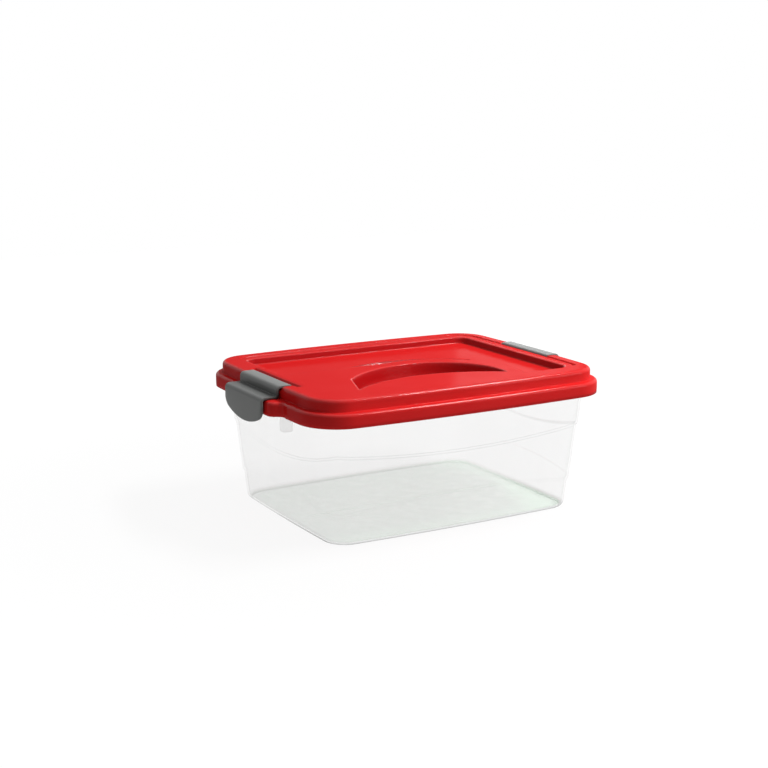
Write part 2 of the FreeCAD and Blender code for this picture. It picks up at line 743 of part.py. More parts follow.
def make_latch(maker):
    """Latch at the right end: a bent clip over crown and porch, with barrel, stubs, tab and catch."""
    body = maker.doc.addObject("PartDesign::Body", "latch")
    thick = "sizes.latch_thick"
    wall, top = "fits.latch_wall_face", "fits.latch_top"
    ledge, tab = "fits.latch_ledge_top", "fits.latch_tab_face"
    profile = [
        ("fits.hinge_x", f"{top} - {thick}", None),
        (f"{wall} - {thick}", f"{top} - {thick}", None),
        (f"{wall} - {thick}", f"{ledge} - {thick}", None),
        (f"{tab} - {thick}", f"{ledge} - {thick}", None),
        (f"{tab} - {thick}", "fits.tab_low", None),
        (tab, "fits.tab_low", None),
        (tab, ledge, None),
        (wall, ledge, None),
        (wall, top, None),
        ("fits.hinge_x", top, None),
    ]
    clip = maker.draw(maker.sketch("clip_profile", None, body=body, plane="XZ_Plane"), profile)
    body_pad(maker, body, "clip", clip, "2 * sizes.latch_half_width")
    rolls = [(wall, top), (tab, ledge)]
    body_fillet(maker, body, "rolls", "sizes.latch_roll", crosswise_at(maker, rolls))
    hollows = [(f"{x} - {thick}", f"{z} - {thick}") for x, z in rolls]
    inner_roll = "sizes.latch_roll - sizes.latch_thick"
    body_fillet(maker, body, "hollows", inner_roll, crosswise_at(maker, hollows))
    side = "sizes.latch_half_width"
    drop = "(fits.tab_side_low - fits.tab_low)"
    under = "fits.tab_low - sizes.latch_roll"
    below_tab = [
        (f"-{side}", "fits.tab_side_low", (f"({side}^2 + {drop}^2) / (2 * {drop})", 1)),
        (side, "fits.tab_side_low", None),
        (side, under, None),
        (f"-{side}", under, None),
    ]
    curve = maker.draw(maker.sketch("tab_curve", None, body=body, plane="YZ_Plane"), below_tab)
    trim = body.newObject("PartDesign::Pocket", "tab_trim")
    trim.Profile = curve
    trim.SideType = "Symmetric"
    trim.setExpression("Length", f"2 * ({tab} + {thick})")
    maker.doc.recompute()
    corner_z = maker.value("fits.tab_side_low")
    corner_y = maker.value(side)

    def tab_corner(edge):
        """True for the short edges through the tab at its two lower corners."""
        ends = [vertex.Point for vertex in edge.Vertexes]
        return all(math.hypot(abs(p.y) - corner_y, p.z - corner_z) < NEAR for p in ends)

    body_fillet(maker, body, "tab_corners", "sizes.tab_corner", tab_corner)
    round_bar(maker, body, "barrel", "sizes.barrel_radius", "2 * sizes.latch_half_width")
    stub_span = "2 * (sizes.latch_half_width + sizes.stub_length)"
    round_bar(maker, body, "stubs", "sizes.stub_radius", stub_span)
    tip = "fits.bar_face - sizes.catch_overlap"
    catch_top = "fits.bar_low - sizes.catch_play"
    catch = [
        (tip, catch_top, None),
        (tip, f"{catch_top} - sizes.catch_lip", None),
        (f"{tab} - {thick} / 2", f"{catch_top} - sizes.catch_height", None),
        (f"{tab} - {thick} / 2", catch_top, None),
    ]
    hook = maker.draw(maker.sketch("catch_profile", None, body=body, plane="XZ_Plane"), catch)
    body_pad(maker, body, "catch", hook, "2 * sizes.catch_half_width")
    return body


def mirrored(maker, name, piece):
    """The same moulding at the other end of the box."""
    copy = maker.doc.addObject("Part::Mirroring", name)
    copy.Source = piece
    copy.Normal = FreeCAD.Vector(1, 0, 0)
    return copy


def main():
    """Build the document, check every object and write one file per piece."""
    doc = FreeCAD.newDocument("storage_box")
    maker = Maker(doc)
    latch = make_latch(maker)
    pieces = {
        "tub": make_tub(maker),
        "lid": make_lid(maker),
        "latch_right": latch,
        "latch_left": mirrored(maker, "latch_copy", latch),
    }
    for label, piece in pieces.items():
        piece.Label = label
    doc.recompute()
    failed = [item.Name for item in doc.Objects if {"Invalid", "Error"} & set(item.State)]
    if failed:
        raise RuntimeError(f"these objects failed: {failed}")
    for label, piece in pieces.items():
        if piece.Shape.isNull() or not piece.Shape.isValid():
            raise RuntimeError(f"{label} has no valid shape")
        print(label, len(piece.Shape.Solids), "solid", round(piece.Shape.Volume), "mm3", piece.Shape.BoundBox)
    os.makedirs("parts", exist_ok=True)
    for label, piece in pieces.items():
        piece.Shape.exportStep(f"parts/{label}.step")


main()
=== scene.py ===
import logging
import math
from dataclasses import dataclass, field
from enum import Enum
from typing import Any

import bpy
import numpy as np
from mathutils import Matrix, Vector


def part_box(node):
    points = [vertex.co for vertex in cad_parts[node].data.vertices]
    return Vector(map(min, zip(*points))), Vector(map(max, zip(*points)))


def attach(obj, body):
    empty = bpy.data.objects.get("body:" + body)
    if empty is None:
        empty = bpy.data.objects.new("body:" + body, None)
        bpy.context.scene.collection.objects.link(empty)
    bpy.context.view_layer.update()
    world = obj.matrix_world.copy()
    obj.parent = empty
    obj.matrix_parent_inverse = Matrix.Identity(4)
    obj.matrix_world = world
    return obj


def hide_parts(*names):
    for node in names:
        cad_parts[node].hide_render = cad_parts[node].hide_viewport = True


# Clear storage box with a red lid and two grey clip latches, in metres.
# X runs along the length with a latch at each end, -Y is the front and Z is up.

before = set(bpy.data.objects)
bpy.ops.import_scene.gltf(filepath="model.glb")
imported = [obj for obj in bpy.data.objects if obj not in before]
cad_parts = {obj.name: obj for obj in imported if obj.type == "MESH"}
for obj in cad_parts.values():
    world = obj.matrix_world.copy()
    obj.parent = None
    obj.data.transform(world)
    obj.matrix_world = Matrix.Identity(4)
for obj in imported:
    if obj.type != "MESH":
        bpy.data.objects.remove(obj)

LOG = logging.getLogger("storage_box")
Array = np.ndarray
Colour = tuple[float, float, float]
Place = tuple[float, float, float]
MM = 0.001
LEVEL = np.array([1.0, 1.0, 0.0])
UPRIGHT = np.array([0.0, 0.0, 1.0])

# Numbers that the meshes keep for each point and the materials read.
POLISH = "polish"
# Painted shade: 1 where a steep sunk wall or a sheltered latch face is coloured darker.
PAINTED_SHADE = "painted_shade"
# Density of the clear plastic; at the tub's foot it also carries a painted contact shadow.
DENSITY_AND_SHADOW = "density_and_shadow_share"
FLOOR_TINT = "floor_tint"


class End(Enum):
    """The two ends of the box, as the sign of X."""

    LEFT = -1
    RIGHT = 1


def smooth_step(value: Array) -> Array:
    """Rise from 0 to 1 with level ends: 3t^2 - 2t^3, with t the value held between 0 and 1.

    Args:
        value: Any numbers.

    Returns:
        The risen values, from 0 to 1.
    """
    t = np.clip(value, 0.0, 1.0)
    return t * t * (3.0 - 2.0 * t)


def quarter_turn(steps: int) -> Array:
    """Angles that divide a quarter turn evenly, both ends included."""
    return np.linspace(0.0, math.pi / 2, steps)


def circle(centre_x: float, centre_z: float, radius: float, turn: Array) -> Array:
    """Points (x, z) on a circle at the given angles."""
    return np.stack([centre_x + radius * np.cos(turn), centre_z + radius * np.sin(turn)], -1)


def mirror_quarter(quarter: Array) -> Array:
    """Close a loop from its first quarter, by mirroring it in X, in both and in Y.

    Args:
        quarter: Points (rows, columns, 3) from the +X axis to the +Y axis, both included.

    Returns:
        Points (rows, 4 * columns - 4, 3) all the way round, counterclockwise from above.
    """
    flip_x, flip_y = np.array([-1.0, 1.0, 1.0]), np.array([1.0, -1.0, 1.0])
    back = quarter[:, -2::-1]
    third = quarter[:, 1:] * flip_x * flip_y
    return np.concatenate([quarter, back * flip_x, third, back[:, :-1] * flip_y], axis=1)


@dataclass
class Surface:
    """Points and faces of a mesh, with one number per point for each named attribute."""

    points: Array
    faces: list[Array]
    attributes: dict[str, Array] = field(default_factory=dict)

    def __add__(self, other: "Surface") -> "Surface":
        """Both surfaces as one, with the other's points numbered after this one's.

        Args:
            other: The surface to add, with the same attributes.

        Returns:
            The joined surface.
        """
        faces = self.faces + [part + len(self.points) for part in other.faces]
        attributes = {
            name: np.concatenate([values, other.attributes[name]])
            for name, values in self.attributes.items()
        }
        return Surface(np.concatenate([self.points, other.points]), faces, attributes)

    def turned(self) -> "Surface":
        """The same surface with its faces pointing the other way."""
        return Surface(self.points, [part[:, ::-1] for part in self.faces], self.attributes)

    def flipped(self, axis: int) -> "Surface":
        """The surface mirrored along one axis, with its faces turned to point outwards again.

        Args:
            axis: 0 for X and 1 for Y.

        Returns:
            The mirrored surface.
        """
        points = self.points.copy()
        points[:, axis] *= -1.0
        return Surface(points, self.faces, self.attributes).turned()

    def at_end(self, end: End) -> "Surface":
        """The surface as it is for the right end of the box, and mirrored in X for the left."""
        return self.flipped(0) if end is End.LEFT else self

    def build(self, name: str) -> bpy.types.Object:
        """Put the surface into a smooth-shaded mesh object at the origin.

        Args:
            name: Name of the object and its mesh.

        Returns:
            The object, linked to the scene.
        """
        mesh = bpy.data.meshes.new(name)
        totals = np.concatenate([np.full(len(part), part.shape[1]) for part in self.faces])
        corners = np.concatenate([part.ravel() for part in self.faces])
        mesh.vertices.add(len(self.points))
        mesh.vertices.foreach_set("co", self.points.astype(np.float32).ravel())
        mesh.loops.add(len(corners))
        mesh.loops.foreach_set("vertex_index", corners.astype(np.int32))
        mesh.polygons.add(len(totals))
        mesh.polygons.foreach_set("loop_start", (np.cumsum(totals) - totals).astype(np.int32))
        mesh.polygons.foreach_set("use_smooth", np.ones(len(totals), dtype=bool))
        for label, values in self.attributes.items():
            layer = mesh.attributes.new(label, "FLOAT", "POINT")
            layer.data.foreach_set("value", values.astype(np.float32).ravel())
        mesh.update(calc_edges=True)
        mesh.validate()
        made = bpy.data.objects.new(name, mesh)
        bpy.context.scene.collection.objects.link(made)
        return made


def grid_faces(rows: int, columns: int, wrap: bool) -> Array:
    """Quads of a grid of points, each with its corners in the order right, up, left.

    Args:
        rows: Number of rows of points.
        columns: Number of points in a row.
        wrap: Whether the last column joins the first.

    Returns:
        Corner numbers (quads, 4).
    """
    ring = np.arange(columns)
    here = ring if wrap else ring[:-1]
    after = (here + 1) % columns
    low = (np.arange(rows - 1) * columns)[:, None]
    high = low + columns
    return np.stack([low + here, low + after, high + after, high + here], -1).reshape(-1, 4)


def loft(rings: Array, attributes: dict[str, Array], capped: bool) -> Surface:
    """Surface through a pile of closed rings, with flat ends where it is capped.

    Args:
        rings: Points (rings, columns, 3), counterclockwise seen against the way the pile runs.
        attributes: For each name, values that spread to (rings, columns).
        capped: Whether the first and the last ring are filled.

    Returns:
        The surface.
    """
    rows, columns, _ = rings.shape
    faces = [grid_faces(rows, columns, wrap=True)]
    if capped:
        ring = np.arange(columns)[None]
        faces += [ring[:, ::-1], (rows - 1) * columns + ring]
    spread = {
        name: np.broadcast_to(value, (rows, columns)).ravel() for name, value in attributes.items()
    }
    return Surface(rings.reshape(-1, 3), faces, spread)


def rounded_path(corners: list[tuple[float, float, float]], steps: int) -> Array:
    """Line through corners (x, z, radius), each rounded by an arc that touches both of its sides.

    The arc starts at the distance radius * tan(turn / 2) from the corner. It goes from one unit
    normal to the other about its centre, which lies at radius / cos(turn / 2) from the corner.

    Args:
        corners: Corners of an open line. A radius of zero leaves a plain point.
        steps: Points on each arc.

    Returns:
        Points (count, 2).
    """
    spots = np.array(corners)[:, :2]
    path = [spots[:1]]
    for before, here, after, (_, _, radius) in zip(spots, spots[1:], spots[2:], corners[1:]):
        if radius == 0.0:
            path.append(here[None])
            continue
        first = (here - before) / np.linalg.norm(here - before)
        last = (after - here) / np.linalg.norm(after - here)
        side = np.sign(first[0] * last[1] - first[1] * last[0])
        normals = side * np.array([[-first[1], first[0]], [-last[1], last[0]]])
        turn = math.acos(np.clip(first @ last, -1.0, 1.0))
        centre = here - first * radius * math.tan(turn / 2) + normals[0] * radius
        angles = np.linspace(0.0, turn, steps)[:, None]
        swung = np.sin(turn - angles) * normals[0] + np.sin(angles) * normals[1]
        path.append(centre - radius * swung / math.sin(turn))
    path.append(spots[-1:])
    return np.concatenate(path)


@dataclass(frozen=True)
class Dresser:
    """Gives a built piece its material, its body and the solid that it stands for."""

    finishes: dict[str, bpy.types.Material]

    def dress(
        self, piece: bpy.types.Object, body: str, finish: str, stands_for: str | None = None
    ) -> None:
        """Finish one piece and report it.

        Args:
            piece: The piece.
            body: Body that it moves with.
            finish: Name of its material.
            stands_for: Solid that it replaces, if any.
        """
        piece.data.materials.append(self.finishes[finish])
        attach(piece, body)
        if stands_for is not None:
            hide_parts(stands_for)
        LOG.info("%s: %d points on body %s", piece.name, len(piece.data.vertices), body)


@dataclass(frozen=True)
class Columns:
    """How the columns of the wrapped grids are shared out over a quarter of the box's outline."""

    face: int = 21
    ear: int = 9
    blend: int = 9
    spread: int = 6
    corner: int = 17
    side: int = 61

    @property
    def count(self) -> int:
        """Columns in a quarter."""
        return self.face + self.ear + self.blend + self.spread + self.corner + self.side


@dataclass(frozen=True)
class Bowed:
    """Rounded rectangle whose sides bow out: circles through the corners and the bow's crest."""

    bow_long: float
    bow_end: float

    def quarter(
        self, half_length: Array, half_width: Array, corner: Array, end_y: Array, columns: Columns
    ) -> Array:
        """Points of the first quarter, each on an outline of its own size.

        A side of half length h that bows out by b is an arc of radius (h^2 + b^2) / 2b. The
        corner's arc is about the point where the two side arcs, drawn in by the corner radius,
        cross.

        Args:
            half_length: Half sizes along X at the corners, spread to (rows, columns).
            half_width: Half sizes along Y at the corners, spread to (rows, columns).
            corner: Corner radii, spread to (rows, columns).
            end_y: Distances from the middle of the end for the columns before the spread ones.
            columns: How the columns are shared out.

        Returns:
            Points (rows, columns, 2) from the +X axis to the +Y axis.
        """
        shape = (np.broadcast(half_length, half_width, corner).shape[0], columns.count)
        a, b, r = (np.broadcast_to(value, shape) for value in (half_length, half_width, corner))
        r_end = (b**2 + self.bow_end**2) / (2 * self.bow_end)
        r_long = (a**2 + self.bow_long**2) / (2 * self.bow_long)
        x_end, y_long = a + self.bow_end - r_end, b + self.bow_long - r_long
        gap = np.hypot(x_end, y_long)
        along = ((r_end - r) ** 2 - (r_long - r) ** 2 + gap**2) / (2 * gap)
        across = np.sqrt((r_end - r) ** 2 - along**2)
        centre_x = x_end - (x_end * along + y_long * across) / gap
        centre_y = (y_long * along - x_end * across) / gap
        low = np.arctan2(centre_y, centre_x - x_end)
        high = np.arctan2(centre_y - y_long, centre_x)
        fixed = len(end_y)
        until_corner = fixed + columns.spread
        until_side = until_corner + columns.corner
        step = np.arange(columns.count)
        last_y = end_y[-1]
        spread_share = (step - fixed + 1) / (columns.spread + 1)
        spread_y = last_y + spread_share * (r_end * np.sin(low) - last_y)
        y_on_end = np.where(step < fixed, np.resize(end_y, columns.count), spread_y)
        x_on_end = x_end + np.sqrt(np.maximum(r_end**2 - y_on_end**2, 0.0))
        on_end = np.stack([x_on_end, y_on_end], -1)
        turn_share = np.clip((step - until_corner) / (columns.corner - 1), 0.0, 1.0)
        turn = low + (high - low) * turn_share
        on_corner = np.stack([centre_x + r * np.cos(turn), centre_y + r * np.sin(turn)], -1)
        swing_share = np.clip((step - until_side + 1) / columns.side, 0.0, 1.0)
        swing = high + (math.pi / 2 - high) * swing_share
        on_side = np.stack([r_long * np.cos(swing), y_long + r_long * np.sin(swing)], -1)
        place = step[None, :, None]
        past_end = np.where(place < until_side, on_corner, on_side)
        return np.where(place < until_corner, on_end, past_end)


@dataclass(frozen=True)
class Box:
    """Sizes that the pieces share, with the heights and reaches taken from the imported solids."""

    columns: Columns = Columns()
    mouth_half_length: float = 167 * MM
    mouth_half_width: float = 127.5 * MM
    overhang_end: float = 13 * MM
    overhang_long: float = 12.5 * MM
    lid_corner: float = 44 * MM
    lid_bow_long: float = 6 * MM
    lid_bow_end: float = 2.7 * MM
    porch_half_width: float = 59.5 * MM
    ear_round: float = 10 * MM
    ear_blend: float = 8 * MM
    notch_half_width: float = 47 * MM
    bar_half_width: float = 32 * MM
    step_half_gap: float = 0.25 * MM

    @property
    def lid_half_length(self) -> float:
        """Half length of the lid's outline at its corners."""
        return self.mouth_half_length + self.overhang_end

    @property
    def lid_half_width(self) -> float:
        """Half width of the lid's outline at its corners."""
        return self.mouth_half_width + self.overhang_long

    @property
    def porch_reach(self) -> float:
        """How far the porch over each latch reaches along X."""
        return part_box("lid")[1].x

    @property
    def rim_top(self) -> float:
        """Height of the tub's rim."""
        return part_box("tub")[1].z

    @property
    def skirt_low(self) -> float:
        """Height of the lower edge of the lid's skirt."""
        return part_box("lid")[0].z

    @property
    def crown_height(self) -> float:
        """Height of the lid's crown."""
        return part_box("lid")[1].z

    def ear_arcs(self) -> tuple[Array, Array, Array, Array]:
        """Centres of the ear's round and of its blend into the end, and the columns' angles there.

        Both circles touch a line along Y, and they touch each other, so their centres lie apart
        by the sum of the radii. The angles go evenly up to the touching point and back from it.

        Returns:
            The ear's centre, the blend's centre, the ear's angles and the blend's angles.
        """
        ear = np.array([self.porch_reach - self.ear_round, self.porch_half_width - self.ear_round])
        run = self.lid_half_length + self.lid_bow_end / 2 + self.ear_blend - ear[0]
        rise = math.sqrt((self.ear_round + self.ear_blend) ** 2 - run**2)
        touch = math.atan2(rise, run)
        turn = touch * np.arange(1, self.columns.ear + 1) / self.columns.ear
        back = touch * (1 - np.arange(1, self.columns.blend + 1) / self.columns.blend)
        return ear, ear + np.array([run, rise]), turn, back

    def end_y(self) -> Array:
        """Places across the end for the columns on the porch, the ear and its blend.

        The porch's columns are even, with a close pair at each side of the bar and of the notch.

        Returns:
            Distances from the middle of the end.
        """
        ear, blend, turn, back = self.ear_arcs()
        edges = np.array([self.bar_half_width, self.notch_half_width])
        pairs = (edges[:, None] + np.array([-self.step_half_gap, self.step_half_gap])).ravel()
        even = np.linspace(0.0, ear[1], self.columns.face - len(pairs))
        face = np.sort(np.concatenate([even, pairs]))
        on_ear = ear[1] + self.ear_round * np.sin(turn)
        return np.concatenate([face, on_ear, blend[1] - self.ear_blend * np.sin(back)])

    def lid_outline(self, inset: Array, porch: bool) -> Array:
        """Quarter of the lid's outline, drawn in by an inset, with or without the porch at its end.

        On the porch the end column's X is the porch's reach. On the ear it is a circle's, and on
        the blend it is that of the circle that leads back to the end.

        Args:
            inset: Insets (rows, 1).
            porch: Whether the outline follows the porch.

        Returns:
            Points (rows, columns, 2).
        """
        sizes = (self.lid_half_length, self.lid_half_width, self.lid_corner)
        end_y = self.end_y()
        points = Bowed(self.lid_bow_long, self.lid_bow_end).quarter(
            *(size - inset for size in sizes), end_y, self.columns
        )
        if not porch:
            return points
        ear, blend, turn, back = self.ear_arcs()
        face = self.columns.face
        on_ear = slice(face, face + self.columns.ear)
        on_blend = slice(on_ear.stop, len(end_y))
        points[:, :face, 0] = self.porch_reach - inset
        points[:, on_ear, 0] = ear[0] + (self.ear_round - inset) * np.cos(turn)
        points[:, on_ear, 1] = ear[1] + (self.ear_round - inset) * np.sin(turn)
        points[:, on_blend, 0] = blend[0] - (self.ear_blend + inset) * np.cos(back)
        points[:, on_blend, 1] = blend[1] - (self.ear_blend + inset) * np.sin(back)
        return points


@dataclass(frozen=True)
class Tub:
    """Clear tub: a thin tapered wall in three tiers, a rim with a turned-down lip, and lugs."""

    box: Box
    taper_end: float = 16 * MM
    taper_long: float = 12.5 * MM
    mouth_corner: float = 32 * MM
    taper_corner: float = 4 * MM
    bow_long: float = 4 * MM
    bow_end: float = 2 * MM
    wall: float = 2 * MM
    floor_thick: float = 2.4 * MM
    foot_round: float = 6 * MM
    tier_step: float = 1.5 * MM
    shoulder: float = 2.4 * MM
    low_line: float = 29 * MM
    low_rise: float = 13 * MM
    up_line: float = 98 * MM
    up_sag_long: float = 11 * MM
    up_sag_end: float = 19 * MM
    rim_inset: float = 2.8 * MM
    rim_thick: float = 2 * MM
    lip_drop: float = 10 * MM
    bar_drop: float = 15.9 * MM
    lip_round: float = 0.7 * MM
    mouth_flare: float = 1.004
    lug_centre: float = 43.5 * MM
    lug_half_width: float = 6 * MM
    lug_half_depth: float = 5.6 * MM
    lug_out: float = 1.12 * MM
    lug_low: float = 110.5 * MM
    lug_round: float = 1.5 * MM
    lug_shrink: float = 0.2
    lug_square: float = 0.35
    plain_rows: int = 7
    middle_rows: int = 9
    shoulder_rows: int = 7
    foot_steps: int = 8
    floor_rings: int = 10
    floor_hole: float = 0.05
    lip_steps: int = 4
    lug_steps: int = 5
    lug_columns: int = 32
    low_density: float = 0.25
    up_density: float = 1.0
    # The foot's grey band is a painted contact shadow; shadow_fade sets how it fades up the round.
    foot_painted_shadow: float = 5.0
    rim_density: float = 0.6
    lug_density: float = 0.5
    back_share: float = 0.2
    shadow_fade: float = 1.5
    tint_fade: float = 2.0

    def ring(self, height: Array, tier: Array, inset: Array) -> Array:
        """Quarter rings of the wall: the outline grows evenly with height and by a step per tier.

        Args:
            height: Heights (rows, columns).
            tier: Tier numbers from 0 to 2, with shares of a step on the shoulders.
            inset: How far the outline is drawn in.

        Returns:
            Points (rows, columns, 3).
        """
        height = np.broadcast_to(height, (len(height), self.box.columns.count))
        rise = (height - self.foot_round) / (self.box.rim_top - self.foot_round)
        share = np.clip(rise, 0.0, 1.0)
        grow = tier * self.tier_step - inset
        steps = 2 * self.tier_step
        plan = Bowed(self.bow_long, self.bow_end).quarter(
            self.box.mouth_half_length - self.taper_end + share * (self.taper_end - steps) + grow,
            self.box.mouth_half_width - self.taper_long + share * (self.taper_long - steps) + grow,
            self.mouth_corner - self.taper_corner + share * (self.taper_corner - steps) + grow,
            self.box.end_y(),
            self.box.columns,
        )
        return np.concatenate([plan, height[..., None]], -1)

    def tier_lines(self) -> tuple[Array, Array]:
        """Heights of the two step lines in each column: arcs that swing up and down on the sides.

        An arc over a half span h with a swing s is s * (1 - (x / h)^2) high, to within a hair. The
        lower line is the higher of the two sides' arcs, and the upper line is the lower of them.

        Returns:
            The lower and the upper line, one height per column.
        """
        place = self.ring(np.full((1, 1), self.up_line), np.ones((1, 1)), np.zeros((1, 1)))[0]
        along = 1 - (place[:, 0] / self.box.mouth_half_length) ** 2
        across = 1 - (place[:, 1] / self.box.mouth_half_width) ** 2
        low = self.low_line + self.low_rise * np.maximum(along, across)
        high = self.up_line - np.maximum(self.up_sag_long * along, self.up_sag_end * across)
        return low, high

    def wall_rows(
        self, lift: float, inset: float, bottom: float, top: float
    ) -> tuple[Array, Array]:
        """Rings up the wall, from its foot to a height, and how dense the plastic looks on each.

        Plain stretches alternate with shoulders, on which the tier rises by a smooth step and the
        density by half a wave.

        Args:
            lift: How far the step lines are raised.
            inset: How far the outline is drawn in.
            bottom: Height at which the foot's round ends.
            top: Height at which the wall ends.

        Returns:
            Quarter rings (rows, columns, 3) and densities (rows, 1).
        """
        low, high = (line + lift for line in self.tier_lines())
        half = self.shoulder / 2
        foot, head = np.full_like(low, bottom), np.full_like(low, top)
        stretches = [
            (foot, low - half, 0.0, 0.0, self.plain_rows, 0.0),
            (low - half, low + half, 0.0, 1.0, self.shoulder_rows, self.low_density),
            (low + half, high - half, 1.0, 1.0, self.middle_rows, 0.0),
            (high - half, high + half, 1.0, 2.0, self.shoulder_rows, self.up_density),
            (high + half, head, 2.0, 2.0, self.plain_rows, 0.0),
        ]
        heights, tiers, density_and_shadow = [], [], []
        for start, stop, first, last, rows, dense in stretches:
            share = np.linspace(0.0, 1.0, rows)[1:, None]
            heights.append(start + share * (stop - start))
            tiers.append(first + (last - first) * smooth_step(share))
            density_and_shadow.append(dense * np.sin(share * math.pi))
        rings = self.ring(np.concatenate(heights), np.concatenate(tiers), inset)
        return rings, np.concatenate(density_and_shadow)

    def foot_rows(self, inset: float, bottom: float, radius: float) -> Array:
        """Quarter round from the floor into the wall: in by r(1 - sin t) and up by r(1 - cos t).

        Args:
            inset: How far the wall's outline is drawn in.
            bottom: Height of the floor.
            radius: The round's radius r.

        Returns:
            Quarter rings (rows, columns, 3).
        """
        turn = quarter_turn(self.foot_steps)[:, None]
        drawn_in = inset + radius * (1 - np.sin(turn))
        return self.ring(bottom + radius * (1 - np.cos(turn)), 0.0 * turn, drawn_in)

    def floor_rows(self, edge: Array) -> Array:
        """Rings of the level floor: its edge ring (columns, 3), shrunk evenly to the middle."""
        share = np.linspace(self.floor_hole, 1 - self.floor_hole, self.floor_rings)[:, None, None]
        return edge * (share * LEVEL + UPRIGHT)

    def rim_rows(self) -> Array:
        """Rings from under the rim out to the lip, round its edge and back over the rim's top.

        The lip hangs lower on the catch bar, and its upper edge is a quarter round.

        Returns:
            Quarter rings (rows, columns, 3).
        """
        top, under = self.box.rim_top, self.box.rim_top - self.rim_thick
        inner, outer = self.rim_inset + self.rim_thick, self.rim_inset
        soft, turn = self.lip_round, quarter_turn(self.lip_steps)
        lip = slice(2, 4)
        insets = [inner + 2 * soft, inner, inner, outer, outer]
        levels = [under, under - 2 * soft, 0.0, 0.0, under - soft]
        insets = np.concatenate([insets, outer + soft * (1 - np.cos(turn))])
        levels = np.concatenate([levels, top - soft + soft * np.sin(turn)])
        plan = self.box.lid_outline(insets[:, None], porch=True)
        x, y = plan[0, :, 0], plan[0, :, 1]
        on_bar = (y < self.box.bar_half_width) & (x > self.box.lid_half_length)
        height = np.repeat(levels[:, None], plan.shape[1], axis=1)
        height[lip] = top - np.where(on_bar, self.bar_drop, self.lip_drop)
        return np.concatenate([plan, height[..., None]], -1)

    def shell(self) -> Surface:
        """The tub without its lugs, as one closed pile of rings.

        The pile runs out under the floor, up outside, over the rim, down inside and back over the
        floor. The foot's painted contact shadow, drawn as extra density, and the floor's tint fade
        up the foot's round, and the density and the shadow are less at the back than at the front.

        Returns:
            The closed surface.
        """
        top, under = self.box.rim_top, self.box.rim_top - self.rim_thick
        outer_foot = self.foot_rows(0.0, 0.0, self.foot_round)
        outer, outer_density = self.wall_rows(0.0, 0.0, self.foot_round, under)
        inner_round = self.foot_round - self.wall
        inner_foot = self.foot_rows(self.wall, self.floor_thick, inner_round)
        inner, inner_density = self.wall_rows(
            self.wall, self.wall, self.floor_thick + inner_round, top - self.lip_round
        )
        mouth = inner[-1:] * LEVEL * self.mouth_flare + UPRIGHT * top
        fade = np.linspace(1.0, 0.0, self.foot_steps)[:, None]
        tint_fade = fade**self.tint_fade
        rows = [
            (self.floor_rows(outer_foot[0]), 0.0, 1.0),
            # The dense grey band on the outer foot is a painted contact shadow.
            (outer_foot, self.foot_painted_shadow * fade**self.shadow_fade, tint_fade),
            (outer, outer_density, 0.0),
            (self.rim_rows(), self.rim_density, 0.0),
            (mouth, self.rim_density, 0.0),
            (inner[::-1], inner_density[::-1], 0.0),
            (inner_foot[::-1], 0.0, tint_fade[::-1]),
            (self.floor_rows(inner_foot[0])[::-1], 0.0, 1.0),
        ]
        rings = mirror_quarter(np.concatenate([part for part, _, _ in rows]))
        density_and_shadow, tint = (
            np.concatenate([np.broadcast_to(row[kind], (len(row[0]), 1)) for row in rows])
            for kind in (1, 2)
        )
        front = smooth_step(0.5 - rings[..., 1] / self.box.mouth_half_width)
        density_and_shadow = density_and_shadow * (self.back_share + (1 - self.back_share) * front)
        return loft(rings, {DENSITY_AND_SHADOW: density_and_shadow, FLOOR_TINT: tint}, capped=True)

    def lugs(self) -> Surface:
        """Four ribs under the rim beside the latches, each drawn in by a quarter round at its foot.

        The plan is a rounded rectangle: the cosine and the sine of an angle, each raised to a small
        power with its sign kept.

        Returns:
            The four closed ribs.
        """
        turn = np.linspace(0.0, 2 * math.pi, self.lug_columns, endpoint=False)
        plan = np.stack([np.cos(turn), np.sin(turn)], -1)
        plan = np.sign(plan) * np.abs(plan) ** self.lug_square
        rise = quarter_turn(self.lug_steps)[::-1]
        foot = self.lug_low + self.lug_round * (1 - np.sin(rise))
        height = np.append(foot, self.box.rim_top - self.rim_thick)
        shrink = np.append(1 - self.lug_shrink * (1 - np.cos(rise)), 1.0)[:, None]
        rings = np.empty((len(height), len(turn), 3))
        middle_x = self.box.mouth_half_length + self.lug_out
        rings[..., 0] = middle_x + plan[:, 0] * self.lug_half_depth * shrink
        rings[..., 1] = self.lug_centre + plan[:, 1] * self.lug_half_width * shrink
        rings[..., 2] = height[:, None]
        marks = {DENSITY_AND_SHADOW: np.full((1, 1), self.lug_density), FLOOR_TINT: np.zeros((1, 1))}
        lug = loft(rings, marks, capped=True)
        pair = lug + lug.flipped(1)
        return pair + pair.flipped(0)

    def build(self) -> tuple[bpy.types.Object, bpy.types.Object]:
        """Build the shell and the lugs."""
        return self.shell().build("tub_shell"), self.lugs().build("tub_lugs")

    def dress(self, pieces: tuple[bpy.types.Object, ...], dresser: Dresser) -> None:
        """Make both pieces clear and let the shell stand for the tub's solid.

        Args:
            pieces: The shell and the lugs.
            dresser: Holder of the finishes.
        """
        shell, lugs = pieces
        dresser.dress(shell, "tub", "tub_clear", "tub")
        dresser.dress(lugs, "tub", "tub_clear")


